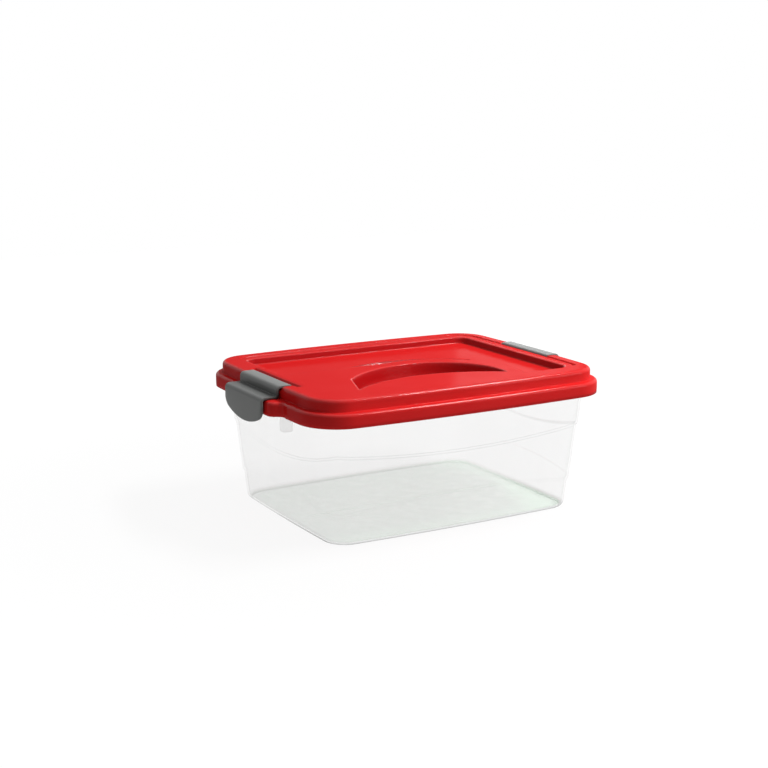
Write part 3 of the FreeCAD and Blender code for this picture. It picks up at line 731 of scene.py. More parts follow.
@dataclass(frozen=True)
class SunkWall:
    """Wall of a sunk place: a round rim, a drafted wall and a round foot, as depth by distance."""

    rim: float = 2.6 * MM
    foot: float = 1.3 * MM
    draft: float = math.radians(9)
    steps: int = 10

    def share(self, distance: Array, depth: float) -> Array:
        """How far down the surface lies at a distance from the outline, negative inside it.

        The section is the rim's arc, a straight wall and the foot's arc turned over, each arc
        turning by a right angle less the draft.

        Args:
            distance: Signed distances to the outline.
            depth: Depth of the sunk place.

        Returns:
            Depths below the surface around it.
        """
        turn = np.linspace(0.0, math.pi / 2 - self.draft, self.steps)
        run, fall = np.sin(turn), 1 - np.cos(turn)
        straight = (depth - (self.rim + self.foot) * fall[-1]) * math.tan(self.draft)
        wall_foot = (self.rim + self.foot) * run[-1] + straight
        inwards = np.concatenate([self.rim * run, wall_foot - self.foot * run[::-1]])
        down = np.concatenate([self.rim * fall, depth - self.foot * fall[::-1]])
        return np.interp(self.rim - distance, inwards, down)


@dataclass(frozen=True)
class Inlay:
    """The lid's sunk middle: a panel, an arched grip, a gutter behind it and a finger pocket."""

    half_length: float = 150 * MM
    half_width: float = 112 * MM
    corner: float = 14 * MM
    panel_left: float = -147 * MM
    panel_right: float = 144 * MM
    panel_back: float = 104 * MM
    panel_front: float = 8 * MM
    panel_toe: float = -109 * MM
    panel_round: float = 12 * MM
    panel_depth: float = 7.5 * MM
    grip_x: float = 2 * MM
    grip_y: float = -79 * MM
    grip_outer: float = 90 * MM
    grip_inner: float = 70 * MM
    gutter_width: float = 38 * MM
    gutter_depth: float = 11 * MM
    pocket_left: float = -93 * MM
    pocket_left_back: float = -50 * MM
    pocket_left_toe: float = -109 * MM
    pocket_toe: float = -95 * MM
    pocket_front: float = 150 * MM
    pocket_depth: float = 15 * MM
    wall: SunkWall = SunkWall()
    least_polished_slope: float = 0.1
    most_polished_slope: float = 2.5
    painted_shade_slope: float = 0.4
    painted_shade_span: float = 1.2

    def panel_part(self, x: Array, y: Array, left: float, front: float) -> Array:
        """Signed distance to a rounded rectangle that reaches to the panel's right and back.

        It is the distance to the rectangle drawn in by the round, less the round.

        Args:
            x: Places along X.
            y: Places along Y.
            left: The rectangle's left side.
            front: The rectangle's front side.

        Returns:
            Distances, negative inside.
        """
        half_x, half_y = (self.panel_right - left) / 2, (self.panel_back - front) / 2
        out_x = np.abs(x - (left + half_x)) - half_x + self.panel_round
        out_y = np.abs(y - (front + half_y)) - half_y + self.panel_round
        outside = np.hypot(np.maximum(out_x, 0.0), np.maximum(out_y, 0.0))
        return outside + np.minimum(np.maximum(out_x, out_y), 0.0) - self.panel_round

    def panel(self, x: Array, y: Array) -> Array:
        """Signed distance to the panel: two rounded rectangles joined, less the disc of the grip.

        Args:
            x: Places along X.
            y: Places along Y.

        Returns:
            Distances, negative inside.
        """
        behind = self.panel_part(x, y, self.panel_left, self.panel_front)
        beside = self.panel_part(x, y, self.grip_x, self.panel_toe)
        grip = self.grip_outer - np.hypot(x - self.grip_x, y - self.grip_y)
        return np.maximum(np.minimum(behind, beside), grip)

    def gutter(self, x: Array, y: Array) -> Array:
        """Signed distance to the gutter: the ring behind the grip, cut off at the panel's front.

        Args:
            x: Places along X.
            y: Places along Y.

        Returns:
            Distances, negative inside.
        """
        reach = np.hypot(x - self.grip_x, y - self.grip_y)
        ring = np.maximum(self.grip_outer - reach, reach - self.grip_outer - self.gutter_width)
        return np.maximum(ring, self.panel_front - y)

    def pocket(self, x: Array, y: Array) -> Array:
        """Signed distance to the finger pocket.

        It lies under the grip's arch, outside the front arc and right of a slanted end. The arch
        is wider left of its crest, where its radius follows from its run and its fall.

        Args:
            x: Places along X.
            y: Places along Y.

        Returns:
            Distances, negative inside.
        """
        crest = self.grip_y + self.grip_inner
        run, fall = self.grip_x - self.pocket_left, crest - self.pocket_left_back
        left_radius = (run**2 + fall**2) / (2 * fall)
        right_arch = np.hypot(x - self.grip_x, y - self.grip_y) - self.grip_inner
        left_arch = np.hypot(x - self.grip_x, y - crest + left_radius) - left_radius
        arch = np.where(x > self.grip_x, right_arch, left_arch)
        tip_run = math.sqrt(self.grip_inner**2 - (self.pocket_toe - self.grip_y) ** 2)
        tip = self.grip_x + tip_run
        half = (tip - self.pocket_left_toe) / 2
        front_y = self.pocket_toe - math.sqrt(self.pocket_front**2 - half**2)
        front = self.pocket_front - np.hypot(x - tip + half, y - front_y)
        slant_x = self.pocket_left_back - self.pocket_toe
        slant_y = self.pocket_left_toe - self.pocket_left
        along = (x - self.pocket_left) * slant_x + (y - self.pocket_left_back) * slant_y
        end = -along / math.hypot(slant_x, slant_y)
        return np.maximum(np.maximum(arch, front), end)

    def fall(self, x: Array, y: Array, grow: float) -> Array:
        """Depth of the surface below the crown: that of the deepest sunk place at each point.

        Args:
            x: Places along X.
            y: Places along Y.
            grow: How far the sunk places are drawn out, for the underside of the sheet.

        Returns:
            Depths, zero on the level parts.
        """
        places = (
            (self.panel, self.panel_depth),
            (self.gutter, self.gutter_depth),
            (self.pocket, self.pocket_depth),
        )
        depths = [self.wall.share(outline(x, y) - grow, depth) for outline, depth in places]
        return np.maximum.reduce(depths)

    def sheet(self, level: float, pitch: float, grow: float) -> Surface:
        """Height field over the sunk middle, on a grid whose rows end on the round corners.

        Rims and feet, where the slope is moderate, are polished; steep walls get painted shade.

        Args:
            level: Height of the level parts.
            pitch: Distance between the grid's points.
            grow: How far the sunk places are drawn out.

        Returns:
            The surface, facing up.
        """
        across, along = (
            np.linspace(-half, half, round(2 * half / pitch) + 1)
            for half in (self.half_length, self.half_width)
        )
        into_corner = np.maximum(np.abs(along) - self.half_width + self.corner, 0.0)
        row_reach = self.half_length - self.corner + np.sqrt(self.corner**2 - into_corner**2)
        x, y = np.meshgrid(across, along)
        x *= row_reach[:, None] / self.half_length
        fall = self.fall(x, y, grow)
        slope = np.hypot(*np.gradient(fall, along, across))
        polish = (slope > self.least_polished_slope) & (slope < self.most_polished_slope)
        # Painted shade mask: the steep walls of the sunk places take a darker colour.
        painted_shade = smooth_step((slope - self.painted_shade_slope) / self.painted_shade_span)
        points = np.stack([x, y, level - fall], -1)
        marks = {POLISH: polish.ravel(), PAINTED_SHADE: painted_shade.ravel()}
        return Surface(points.reshape(-1, 3), [grid_faces(*x.shape, wrap=False)], marks)


@dataclass(frozen=True)
class Lid:
    """Red lid: a skirt with porches, a ledge, a raised crown with a groove, and the sunk middle."""

    box: Box
    inlay: Inlay = Inlay()
    wall: float = 2 * MM
    ledge: float = 146 * MM
    crown_inset: float = 7.5 * MM
    crown_flat: float = 3 * MM
    skirt_round: float = 3.5 * MM
    skirt_tuck: float = 0.15 * MM
    foot_round: float = 1.5 * MM
    crown_round: float = 4 * MM
    shelf: float = 154 * MM
    shelf_round: float = 0.8 * MM
    groove_inset: float = 16 * MM
    groove_half_width: float = 2 * MM
    groove_depth: float = 2.5 * MM
    groove_soft: float = 0.7 * MM
    groove_left: float = -148 * MM
    groove_toe: float = -106 * MM
    groove_tail: float = 55.5 * MM
    hold: float = 0.15 * MM
    pitch: float = 0.95 * MM
    under_pitch: float = 2.4 * MM
    skirt_rings: int = 3
    foot_steps: int = 5
    edge_steps: int = 7
    shelf_rings: int = 5
    groove_places: tuple[float, ...] = (-1.0, -0.5, 0.0, 1.0)
    groove_shares: tuple[float, ...] = (0.0, 0.12, 0.88, 1.0)
    dull: float = 0.3
    groove_polish: float = 0.5

    def groove_mask(self, x: Array, y: Array) -> Array:
        """1 where the groove runs: along the back, along the right and behind the left latch.

        Each run ends in a smooth step over the groove's half width.

        Args:
            x: Places along X.
            y: Places along Y.

        Returns:
            The mask, from 0 to 1.
        """
        back = np.minimum(x - self.groove_left, y)
        right = np.minimum(y - self.groove_toe, x)
        left = np.minimum(self.groove_tail - np.abs(y), -x - self.box.mouth_half_width)
        return smooth_step(np.maximum.reduce([back, right, left]) / self.groove_half_width)

    @staticmethod
    def around(plan: Array) -> Array:
        """Rings all the way round from quarter plans (rows, columns, 2), at a height of zero."""
        return mirror_quarter(np.concatenate([plan, np.zeros_like(plan[..., :1])], -1))

    def edge_polish(self, turn: Array) -> Array:
        """Polish over a round edge: most in its middle, by half a wave."""
        return self.dull + (1 - self.dull) * np.sin(2 * turn)

    def skirt_rows(self) -> tuple[Array, Array]:
        """Rings up the skirt and over its round to the ledge, with how polished each is.

        The round is in by r(1 - cos t) and up by r sin t. The lowest ring is tucked in a little.

        Returns:
            Rings (rows, columns, 3) and polish (rows, 1).
        """
        turn, radius = quarter_turn(self.edge_steps), self.skirt_round
        start = self.ledge - radius
        plain = np.zeros(self.skirt_rings - 1)
        insets = np.concatenate([[self.skirt_tuck], plain, radius * (1 - np.cos(turn))])
        straight = np.linspace(self.box.skirt_low, start, self.skirt_rings + 1)[:-1]
        heights = np.concatenate([straight, start + radius * np.sin(turn)])
        polish = np.concatenate([np.full(self.skirt_rings, self.dull), self.edge_polish(turn)])
        rings = self.around(self.box.lid_outline(insets[:, None], porch=True))
        rings[..., 2] = heights[:, None]
        return rings, polish[:, None]

    def crown_rows(self) -> tuple[Array, Array]:
        """Rings up the crown, over its edge and across its top and groove, with their polish.

        The foot and the edge are quarter rounds, and the groove's sides fall in three steps. Where
        a latch lies, the crown ends lower, at a shelf that reaches back to the groove.

        Returns:
            Rings (rows, columns, 3) and polish (rows, columns).
        """
        foot, turn = quarter_turn(self.foot_steps), quarter_turn(self.edge_steps)
        edge, soft, top = self.crown_round, self.groove_soft, self.box.crown_height
        beside, sink = soft * np.array(self.groove_places), np.array(self.groove_shares)
        near_side, far_side = self.groove_inset + self.groove_half_width * np.array([-1.0, 1.0])
        across = np.concatenate([near_side + beside, far_side - beside[::-1]])
        flat = np.array([edge + self.crown_flat, near_side - 2 * soft])
        foot_inset = -self.foot_round * (1 - np.sin(foot))
        insets = np.concatenate([foot_inset, edge * (1 - np.cos(turn)), flat, across])
        shelf_edge = self.shelf_round * (1 - np.cos(turn))
        shelf_insets = np.concatenate([foot_inset, shelf_edge, flat, across])
        level = len(flat) + len(across)
        foot_z = self.ledge + self.foot_round * (1 - np.cos(foot))
        plain_z = np.concatenate([foot_z, top - edge + edge * np.sin(turn), np.full(level, top)])
        shelf_z = np.concatenate(
            [
                foot_z,
                self.shelf - self.shelf_round * (1 - np.sin(turn)),
                np.full(self.shelf_rings, self.shelf),
                np.full(level - self.shelf_rings, top),
            ]
        )
        plan, shelf_plan = (
            self.around(self.box.lid_outline(self.crown_inset + inset[:, None], porch=False))
            for inset in (insets, shelf_insets)
        )
        x, y = np.abs(plan[:1, :, 0]), np.abs(plan[:1, :, 1])
        latched = (y < self.box.notch_half_width) & (x > self.box.mouth_half_width)
        rings = np.where(latched[..., None], shelf_plan, plan)
        height = np.where(latched, shelf_z[:, None], plain_z[:, None])
        mask = self.groove_mask(rings[..., 0], rings[..., 1]) * (height > self.shelf)
        before = np.zeros(len(insets) - len(across))
        sunk = self.groove_depth * np.concatenate([before, sink, sink[::-1]])
        rings[..., 2] = height - sunk[:, None] * mask
        rows = [np.full(len(foot), self.dull), self.edge_polish(turn), np.zeros(len(flat))]
        polish = np.repeat(np.concatenate(rows)[:, None], rings.shape[1], axis=1)
        return rings, np.concatenate([polish, self.groove_polish * mask[len(before) :]])

    def middle_rings(self, outside: Array) -> Array:
        """The last rings of the rim: each point goes straight to the edge of the sunk middle.

        The edge is a rectangle with round corners. The first of the two rings stops a hair short
        of it, so that the shading is level up to there.

        Args:
            outside: The ring before (1, columns, 3).

        Returns:
            Two rings (2, columns, 3).
        """
        corner = self.inlay.corner
        reach = np.array([self.inlay.half_length, self.inlay.half_width]) - corner
        inner = np.clip(outside[..., :2], -reach, reach)
        away = outside[..., :2] - inner
        away /= np.linalg.norm(away, axis=-1, keepdims=True)
        rings = np.repeat(outside, 2, axis=0)
        rings[..., :2] = inner + np.array([corner + self.hold, corner])[:, None, None] * away
        rings[..., 2] = self.box.crown_height
        return rings

    def rim(self) -> Surface:
        """Skirt, ledge, crown and groove as one pile of rings, from the skirt's lower edge inwards.

        Returns:
            The upper side of the rim, open at both edges.
        """
        skirt, skirt_polish = self.skirt_rows()
        crown, crown_polish = self.crown_rows()
        middle = self.middle_rings(crown[-1:])
        spread = np.broadcast_to(skirt_polish, skirt.shape[:2])
        polish = np.concatenate([spread, crown_polish, np.zeros(middle.shape[:2])])
        marks = {POLISH: polish, PAINTED_SHADE: np.zeros((1, 1))}
        return loft(np.concatenate([skirt, crown, middle]), marks, capped=False)

    def top(self) -> Surface:
        """Upper side of the sunk middle."""
        return self.inlay.sheet(self.box.crown_height, self.pitch, 0.0)

    def underside(self) -> Surface:
        """Lower side of the sunk middle, a wall's thickness below the upper side."""
        level = self.box.crown_height - self.wall
        return self.inlay.sheet(level, self.under_pitch, self.wall).turned()

    def build(self) -> tuple[bpy.types.Object, ...]:
        """Build the rim, with its wall grown inwards from the side that shows, and both sheets.

        Returns:
            The rim, the upper sheet and the lower sheet.
        """
        rim = self.rim().build("lid_rim")
        wall = rim.modifiers.new("wall", "SOLIDIFY")
        wall.thickness = self.wall
        wall.offset = -1.0
        wall.use_even_offset = True
        wall.thickness_clamp = 1.0
        return rim, self.top().build("lid_top"), self.underside().build("lid_underside")

    def dress(self, pieces: tuple[bpy.types.Object, ...], dresser: Dresser) -> None:
        """Make the pieces red and let the rim stand for the lid's solid.

        Args:
            pieces: The rim and the two sheets.
            dresser: Holder of the finishes.
        """
        rim, *sheets = pieces
        dresser.dress(rim, "lid", "lid_red", "lid")
        for sheet in sheets:
            dresser.dress(sheet, "lid", "lid_red")


@dataclass(frozen=True)
class Latch:
    """Clip latch: a bent strip with a hinge barrel, a tab with a curved lower edge, and a catch."""

    end: End
    half_width: float = 45.5 * MM
    thick: float = 2.5 * MM
    roll: float = 5 * MM
    corner: float = 0.9 * MM
    hinge_x: float = 164.2 * MM
    hinge_z: float = 157 * MM
    barrel: float = 2.6 * MM
    stub: float = 1.5 * MM
    stub_length: float = 4.5 * MM
    wall_face: float = 179.7 * MM
    tab_face: float = 197.5 * MM
    ledge: float = 149 * MM
    tab_rise: float = 11.5 * MM
    tab_low: float = 117 * MM
    tab_corner: float = 14 * MM
    tab_round: float = 1 * MM
    edge: float = 0.6 * MM
    catch_half_width: float = 24 * MM
    catch_tip: float = 189 * MM
    catch_top: float = 126 * MM
    catch_lip: float = 1.5 * MM
    catch_height: float = 5 * MM
    catch_round: float = 0.5 * MM
    catch_seam: float = 1 * MM
    bend_steps: int = 8
    barrel_steps: int = 18
    stub_columns: int = 24
    catch_steps: int = 5
    middle_stations: int = 13
    corner_stations: int = 12
    edge_stations: int = 6
    painted_shade_start: float = 0.5

    @property
    def top(self) -> float:
        """Height of the latch's upper side."""
        return self.hinge_z + self.barrel

    @property
    def tab_top(self) -> float:
        """Height at which the tab's straight face starts under its roll."""
        return self.ledge - self.roll

    def section(self) -> Array:
        """Closed section of the strip: outside from barrel to tab, inside back, round the barrel.

        Returns:
            Points (x, z), clockwise seen from the front.
        """
        inside = self.roll - self.thick
        wall_back, tab_back = self.wall_face - self.thick, self.tab_face - self.thick
        path = [
            (self.hinge_x, self.top, 0.0),
            (self.wall_face, self.top, self.roll),
            (self.wall_face, self.ledge, self.corner),
            (self.tab_face, self.ledge, self.roll),
            (self.tab_face, self.tab_low, self.tab_round),
            (tab_back, self.tab_low, self.tab_round),
            (tab_back, self.ledge - self.thick, inside),
            (wall_back, self.ledge - self.thick, self.corner),
            (wall_back, self.top - self.thick, inside),
            (self.hinge_x + self.barrel, self.top - self.thick, 0.0),
        ]
        turn = np.linspace(0.0, -1.5 * math.pi, self.barrel_steps)[1:-1]
        barrel = circle(self.hinge_x, self.hinge_z, self.barrel, turn)
        return np.concatenate([rounded_path(path, self.bend_steps), barrel])

    def lower_edge(self, y: Array) -> Array:
        """Height of the tab's lower edge: an arc, joined to each side by a round corner.

        Args:
            y: Places across the latch.

        Returns:
            Heights.
        """
        radius = (self.half_width**2 + self.tab_rise**2) / (2 * self.tab_rise)
        centre = self.tab_low + radius
        corner_y = self.half_width - self.tab_corner
        corner_z = centre - math.sqrt((radius - self.tab_corner) ** 2 - corner_y**2)
        meet = corner_y * radius / (radius - self.tab_corner)
        out = np.clip(np.abs(y) - corner_y, 0.0, self.tab_corner)
        arc = centre - np.sqrt(radius**2 - np.minimum(np.abs(y), meet) ** 2)
        return np.where(np.abs(y) < meet, arc, corner_z - np.sqrt(self.tab_corner**2 - out**2))

    def stations(self) -> tuple[Array, Array]:
        """Places across the latch where its section stands, and how far it is drawn in there.

        They are even over the middle, go by a sine over the tab's corner, and by a quarter round
        over the edge.

        Returns:
            Places and insets, from one side to the other.
        """
        turn = quarter_turn(self.edge_stations)[1:]
        corner_y = self.half_width - self.tab_corner
        inner = np.linspace(0.0, corner_y, self.middle_stations, endpoint=False)
        swing = np.sin(quarter_turn(self.corner_stations))
        on_corner = corner_y + (self.tab_corner - self.edge) * swing
        last = self.half_width - self.edge + self.edge * np.sin(turn)
        half = np.concatenate([inner, on_corner, last])
        plain = np.zeros(len(inner) + len(on_corner))
        shrink = np.concatenate([plain, self.edge * (1 - np.cos(turn))])
        return np.concatenate([-half[:0:-1], half]), np.concatenate([shrink[:0:-1], shrink])

    def clip(self) -> Surface:
        """The strip: its section carried across, with the tab stretched down to its lower edge.

        The faces sheltered behind the tab's roll and under the top are marked for painted shade.

        Returns:
            The closed strip.
        """
        section = self.section()
        along = np.roll(section, -1, axis=0) - np.roll(section, 1, axis=0)
        along /= np.linalg.norm(along, axis=1, keepdims=True)
        outwards = np.stack([-along[:, 1], along[:, 0]], -1)
        y, shrink = self.stations()
        plan = section - shrink[:, None, None] * outwards
        below = np.minimum(plan[..., 1] - self.tab_top, 0.0)
        stretch = (self.tab_top - self.lower_edge(y)) / (self.tab_top - self.tab_low)
        height = np.maximum(plan[..., 1], self.tab_top) + below * stretch[:, None]
        rings = np.stack([plan[..., 0], np.broadcast_to(y[:, None], height.shape), height], -1)
        # Painted shade mask: faces under the top and behind the tab's roll take a darker colour.
        below_top, behind_tab = (
            smooth_step(distance / self.roll - self.painted_shade_start)
            for distance in (self.top - section[:, 1], self.tab_face - section[:, 0])
        )
        return loft(rings, {PAINTED_SHADE: below_top * behind_tab}, capped=True)

    def bar(self, section: Array, half_width: float) -> Surface:
        """A closed section carried straight across, with flat ends.

        Args:
            section: Points (x, z), clockwise seen from the front.
            half_width: How far the bar reaches to each side.

        Returns:
            The closed bar.
        """
        rings = np.empty((2, len(section), 3))
        rings[..., [0, 2]] = section
        rings[..., 1] = np.array([[-half_width], [half_width]])
        return loft(rings, {PAINTED_SHADE: np.zeros((1, 1))}, capped=True)

    def whole(self) -> Surface:
        """The latch at the right end: strip, catch and hinge stubs.

        The catch is a wedge from the tab's back to its tip, and the stubs are the ends of a pin.

        Returns:
            The three closed surfaces as one.
        """
        root, top = self.tab_face - self.thick / 2, self.catch_top
        wedge = [
            (root, top, 0.0),
            (root, top - self.catch_height, 0.0),
            (self.catch_tip, top - self.catch_lip, self.catch_round),
            (self.catch_tip, top, self.catch_round),
            (root - self.catch_seam, top, 0.0),
        ]
        catch = self.bar(rounded_path(wedge, self.catch_steps), self.catch_half_width)
        turn = np.linspace(0.0, -2 * math.pi, self.stub_columns, endpoint=False)
        pin = circle(self.hinge_x, self.hinge_z, self.stub, turn)
        return self.clip() + catch + self.bar(pin, self.half_width + self.stub_length)

    def build(self) -> bpy.types.Object:
        """Build the latch at its end."""
        return self.whole().at_end(self.end).build(f"latch_{self.end.name.lower()}_clip")

    def dress(self, clip: bpy.types.Object, dresser: Dresser) -> None:
        """Make the clip grey and let it stand for its end's solid."""
        name = f"latch_{self.end.name.lower()}"
        dresser.dress(clip, name, "latch_grey", name)


class Graph:
    """Node tree of one material or world, with one method that adds any node."""

    def __init__(self, owner: bpy.types.Material | bpy.types.World) -> None:
        """Take over the owner's tree and empty it.

        Args:
            owner: The material or world that the nodes belong to.
        """
        owner.use_nodes = True
        self.tree = owner.node_tree
        self.tree.nodes.clear()

    def node(self, kind: str, settings: dict[str, Any], inputs: dict[Any, Any]) -> bpy.types.Node:
        """Add a node, set it up and feed its sockets.

        Args:
            kind: Type of the node.
            settings: Properties to set first.
            inputs: Values, sockets or shader values for its inputs, by name or number.

        Returns:
            The node.
        """
        made = self.tree.nodes.new(kind)
        for name, value in settings.items():
            setattr(made, name, value)
        for name, value in inputs.items():
            source = value.socket if isinstance(value, Shade) else value
            if isinstance(source, bpy.types.NodeSocket):
                self.tree.links.new(source, made.inputs[name])
            else:
                made.inputs[name].default_value = source
        return made

    def surface(self, inputs: dict[str, Any]) -> None:
        """End a material in a principled shader with these inputs."""
        shader = self.node("ShaderNodeBsdfPrincipled", {}, inputs)
        self.node("ShaderNodeOutputMaterial", {}, {"Surface": shader.outputs[0]})

    def attribute(self, name: str) -> "Shade":
        """A number that the mesh keeps for each of its points."""
        settings = {"attribute_name": name, "attribute_type": "GEOMETRY"}
        return Shade(self, self.node("ShaderNodeAttribute", settings, {}).outputs["Fac"])

    def noise(self, scale: float, detail: float, stretch: Place = (1.0, 1.0, 1.0)) -> "Shade":
        """Cloudy noise from 0 to 1 over the object's own coordinates.

        Args:
            scale: Grains per metre.
            detail: How many finer layers are added.
            stretch: Scale along each axis.

        Returns:
            The noise.
        """
        place = self.node("ShaderNodeTexCoord", {}, {}).outputs["Object"]
        mapped = self.node("ShaderNodeMapping", {}, {"Vector": place, "Scale": stretch})
        inputs = {"Vector": mapped.outputs["Vector"], "Scale": scale, "Detail": detail}
        return Shade(self, self.node("ShaderNodeTexNoise", {}, inputs).outputs["Fac"])

    def blend(
        self,
        share: "Shade",
        first: Colour | bpy.types.NodeSocket,
        second: Colour | bpy.types.NodeSocket,
    ) -> bpy.types.NodeSocket:
        """Colour that goes from the first to the second as the share goes from 0 to 1.

        Args:
            share: How much of the second colour is taken.
            first: Colour, or the socket that gives it.
            second: Colour, or the socket that gives it.

        Returns:
            The socket of the mixed colour.
        """
        ends = [(*end, 1.0) if isinstance(end, tuple) else end for end in (first, second)]
        inputs = {"Factor": share, 6: ends[0], 7: ends[1]}
        return self.node("ShaderNodeMix", {"data_type": "RGBA"}, inputs).outputs[2]

    def bump(self, height: "Shade", strength: float, distance: float) -> bpy.types.NodeSocket:
        """Normal that makes a height look raised."""
        inputs = {"Height": height, "Strength": strength, "Distance": distance}
        return self.node("ShaderNodeBump", {}, inputs).outputs["Normal"]


@dataclass(frozen=True)
class Shade:
    """A shader value: arithmetic on it adds Math nodes to its graph."""

    graph: Graph
    socket: bpy.types.NodeSocket

    def math(self, operation: str, first: Any, second: Any, clamp: bool = False) -> "Shade":
        """Join two values by a Math node.

        Args:
            operation: What the node does.
            first: Its first value, a number or a shader value.
            second: Its second value.
            clamp: Whether the result is held between 0 and 1.

        Returns:
            The result.
        """
        settings = {"operation": operation, "use_clamp": clamp}
        made = self.graph.node("ShaderNodeMath", settings, {0: first, 1: second})
        return Shade(self.graph, made.outputs[0])

    def __add__(self, other: Any) -> "Shade":
        """Sum."""
        return self.math("ADD", self, other)

    def __radd__(self, other: Any) -> "Shade":
        """Sum with a number first."""
        return self.math("ADD", other, self)

    def __sub__(self, other: Any) -> "Shade":
        """Difference."""
        return self.math("SUBTRACT", self, other)

    def __rsub__(self, other: Any) -> "Shade":
        """Difference from a number."""
        return self.math("SUBTRACT", other, self)

    def __mul__(self, other: Any) -> "Shade":
        """Product."""
        return self.math("MULTIPLY", self, other)

    def __rmul__(self, other: Any) -> "Shade":
        """Product with a number first."""
        return self.math("MULTIPLY", other, self)

    def __pow__(self, other: Any) -> "Shade":
        """Power."""
        return self.math("POWER", self, other)

    def __rpow__(self, other: Any) -> "Shade":
        """Power of a number."""
        return self.math("POWER", other, self)

    def held(self) -> "Shade":
        """The value held between 0 and 1."""
        return self.math("ADD", self, 0.0, clamp=True)


@dataclass(frozen=True)
class RedPlastic:
    """Moulded lid plastic: matt, finely grained, polished edges, painted shade on steep walls."""

    name: str = "lid_red"
    colour: Colour = (0.80, 0.022, 0.022)
    shade: Colour = (0.76, 0.017, 0.018)
    # wall: painted shade colour for the steep walls of the sunk places
    wall: Colour = (0.47, 0.010, 0.012)
    grain: float = 1500.0
    ripples: float = 160.0
    clouds: float = 22.0
    grain_detail: float = 2.0
    ripple_detail: float = 1.0
    cloud_detail: float = 3.0
    rough: float = 0.52
    grain_rough: float = 0.10
    polished: float = 0.30
    coat: float = 0.05
    cloud_coat: float = 0.04
    edge_coat: float = 0.40
    coat_rough: float = 0.12
    ripple_share: float = 0.6
    bump: float = 0.10
    bump_depth: float = 0.15 * MM

    def build(self) -> bpy.types.Material:
        """Make the material; the polish attribute lowers the roughness and raises the coat.

        Returns:
            The material.
        """
        made = bpy.data.materials.new(self.name)
        graph = Graph(made)
        polish = graph.attribute(POLISH)
        cloud = graph.noise(self.clouds, self.cloud_detail)
        grain = graph.noise(self.grain, self.grain_detail)
        level = graph.blend(cloud, self.shade, self.colour)
        rough = self.rough - self.polished * polish + self.grain_rough * (grain - 0.5)
        coat = self.coat + self.edge_coat * polish * polish + self.cloud_coat * (cloud - 0.5)
        ripple = graph.noise(self.ripples, self.ripple_detail)
        height = grain * (1 - polish).held() + self.ripple_share * ripple
        graph.surface(
            {
                # Painted shade: the steep walls take the darker wall colour.
                "Base Color": graph.blend(graph.attribute(PAINTED_SHADE), level, self.wall),
                "Roughness": rough.held(),
                "Specular IOR Level": 0.0,
                "Coat Weight": coat.held(),
                "Coat Roughness": self.coat_rough,
                "Normal": graph.bump(height, self.bump, self.bump_depth),
            }
        )
        return made


@dataclass(frozen=True)
class GreyPlastic:
    """Satin latch plastic with a fine spark-eroded grain and painted shade on sheltered faces."""

    name: str = "latch_grey"
    colour: Colour = (0.205, 0.211, 0.206)
    shade: Colour = (0.178, 0.184, 0.179)
    # Painted shade colour for the sheltered faces.
    recess_painted_shade: Colour = (0.060, 0.063, 0.060)
    grain: float = 1900.0
    clouds: float = 45.0
    detail: float = 3.0
    cloud_share: float = 0.7
    grain_share: float = 0.3
    rough: float = 0.42
    grain_rough: float = 0.16
    specular: float = 0.20
    bump: float = 0.14
    bump_depth: float = 0.12 * MM

    def build(self) -> bpy.types.Material:
        """Make the material; the painted shade attribute leads to the darker colour.

        Returns:
            The material.
        """
        made = bpy.data.materials.new(self.name)
        graph = Graph(made)
        grain = graph.noise(self.grain, self.detail)
        cloud = graph.noise(self.clouds, self.detail)
        mottle = (self.cloud_share * cloud + self.grain_share * grain).held()
        level = graph.blend(mottle, self.shade, self.colour)
        graph.surface(
            {
                # Painted shade: the sheltered faces take the darker colour.
                "Base Color": graph.blend(graph.attribute(PAINTED_SHADE), level, self.recess_painted_shade),
                "Roughness": (self.rough + self.grain_rough * (grain - 0.5)).held(),
                "Specular IOR Level": self.specular,
                "Normal": graph.bump(grain, self.bump, self.bump_depth),
            }
        )
        return made


@dataclass(frozen=True)
class ClearPlastic:
    """Hazy clear tub plastic: thin walls, denser steps and rim, and a floor with a green tint."""

    name: str = "tub_clear"
    wall: Colour = (0.70, 0.76, 0.72)
    floor: Colour = (0.30, 0.92, 0.40)
    # step: grey of the denser steps and rim, and of the painted contact shadow at the foot
    step: Colour = (0.22, 0.25, 0.23)
    wall_alpha: float = 0.034
    step_alpha: float = 0.10
    floor_alpha: float = 0.135
    edge_alpha: float = 0.10
    haze_alpha: float = 0.012
    edge_power: float = 4.0
    edge_blend: float = 0.5
    haze: float = 60.0
    haze_detail: float = 4.0
    haze_stretch: Place = (1.0, 1.0, 0.35)
    rough: float = 0.22
    haze_rough: float = 0.12
    specular: float = 0.5
    bump: float = 0.05
    bump_depth: float = 0.3 * MM

    def build(self) -> bpy.types.Material:
        """Make the material; alpha grows with density, the painted foot shadow and walls seen edge
        on.

        Returns:
            The material.
        """
        made = bpy.data.materials.new(self.name)
        graph = Graph(made)
        density_and_shadow = graph.attribute(DENSITY_AND_SHADOW)
        tint = graph.attribute(FLOOR_TINT)
        haze = graph.noise(self.haze, self.haze_detail, self.haze_stretch)
        weight = graph.node("ShaderNodeLayerWeight", {}, {"Blend": self.edge_blend})
        facing = Shade(graph, weight.outputs["Facing"])
        level = graph.blend(tint, self.wall, self.floor)
        alpha = (
            self.wall_alpha
            + self.step_alpha * density_and_shadow
            + self.floor_alpha * tint
            + self.edge_alpha * facing**self.edge_power
            + self.haze_alpha * (haze - 0.5)
        )
        graph.surface(
            {
                "Base Color": graph.blend(density_and_shadow, level, self.step),
                "Roughness": (self.rough + self.haze_rough * haze).held(),
                "Specular IOR Level": self.specular,
                "Alpha": alpha.held(),
                "Normal": graph.bump(haze, self.bump, self.bump_depth),
            }
        )
        return made


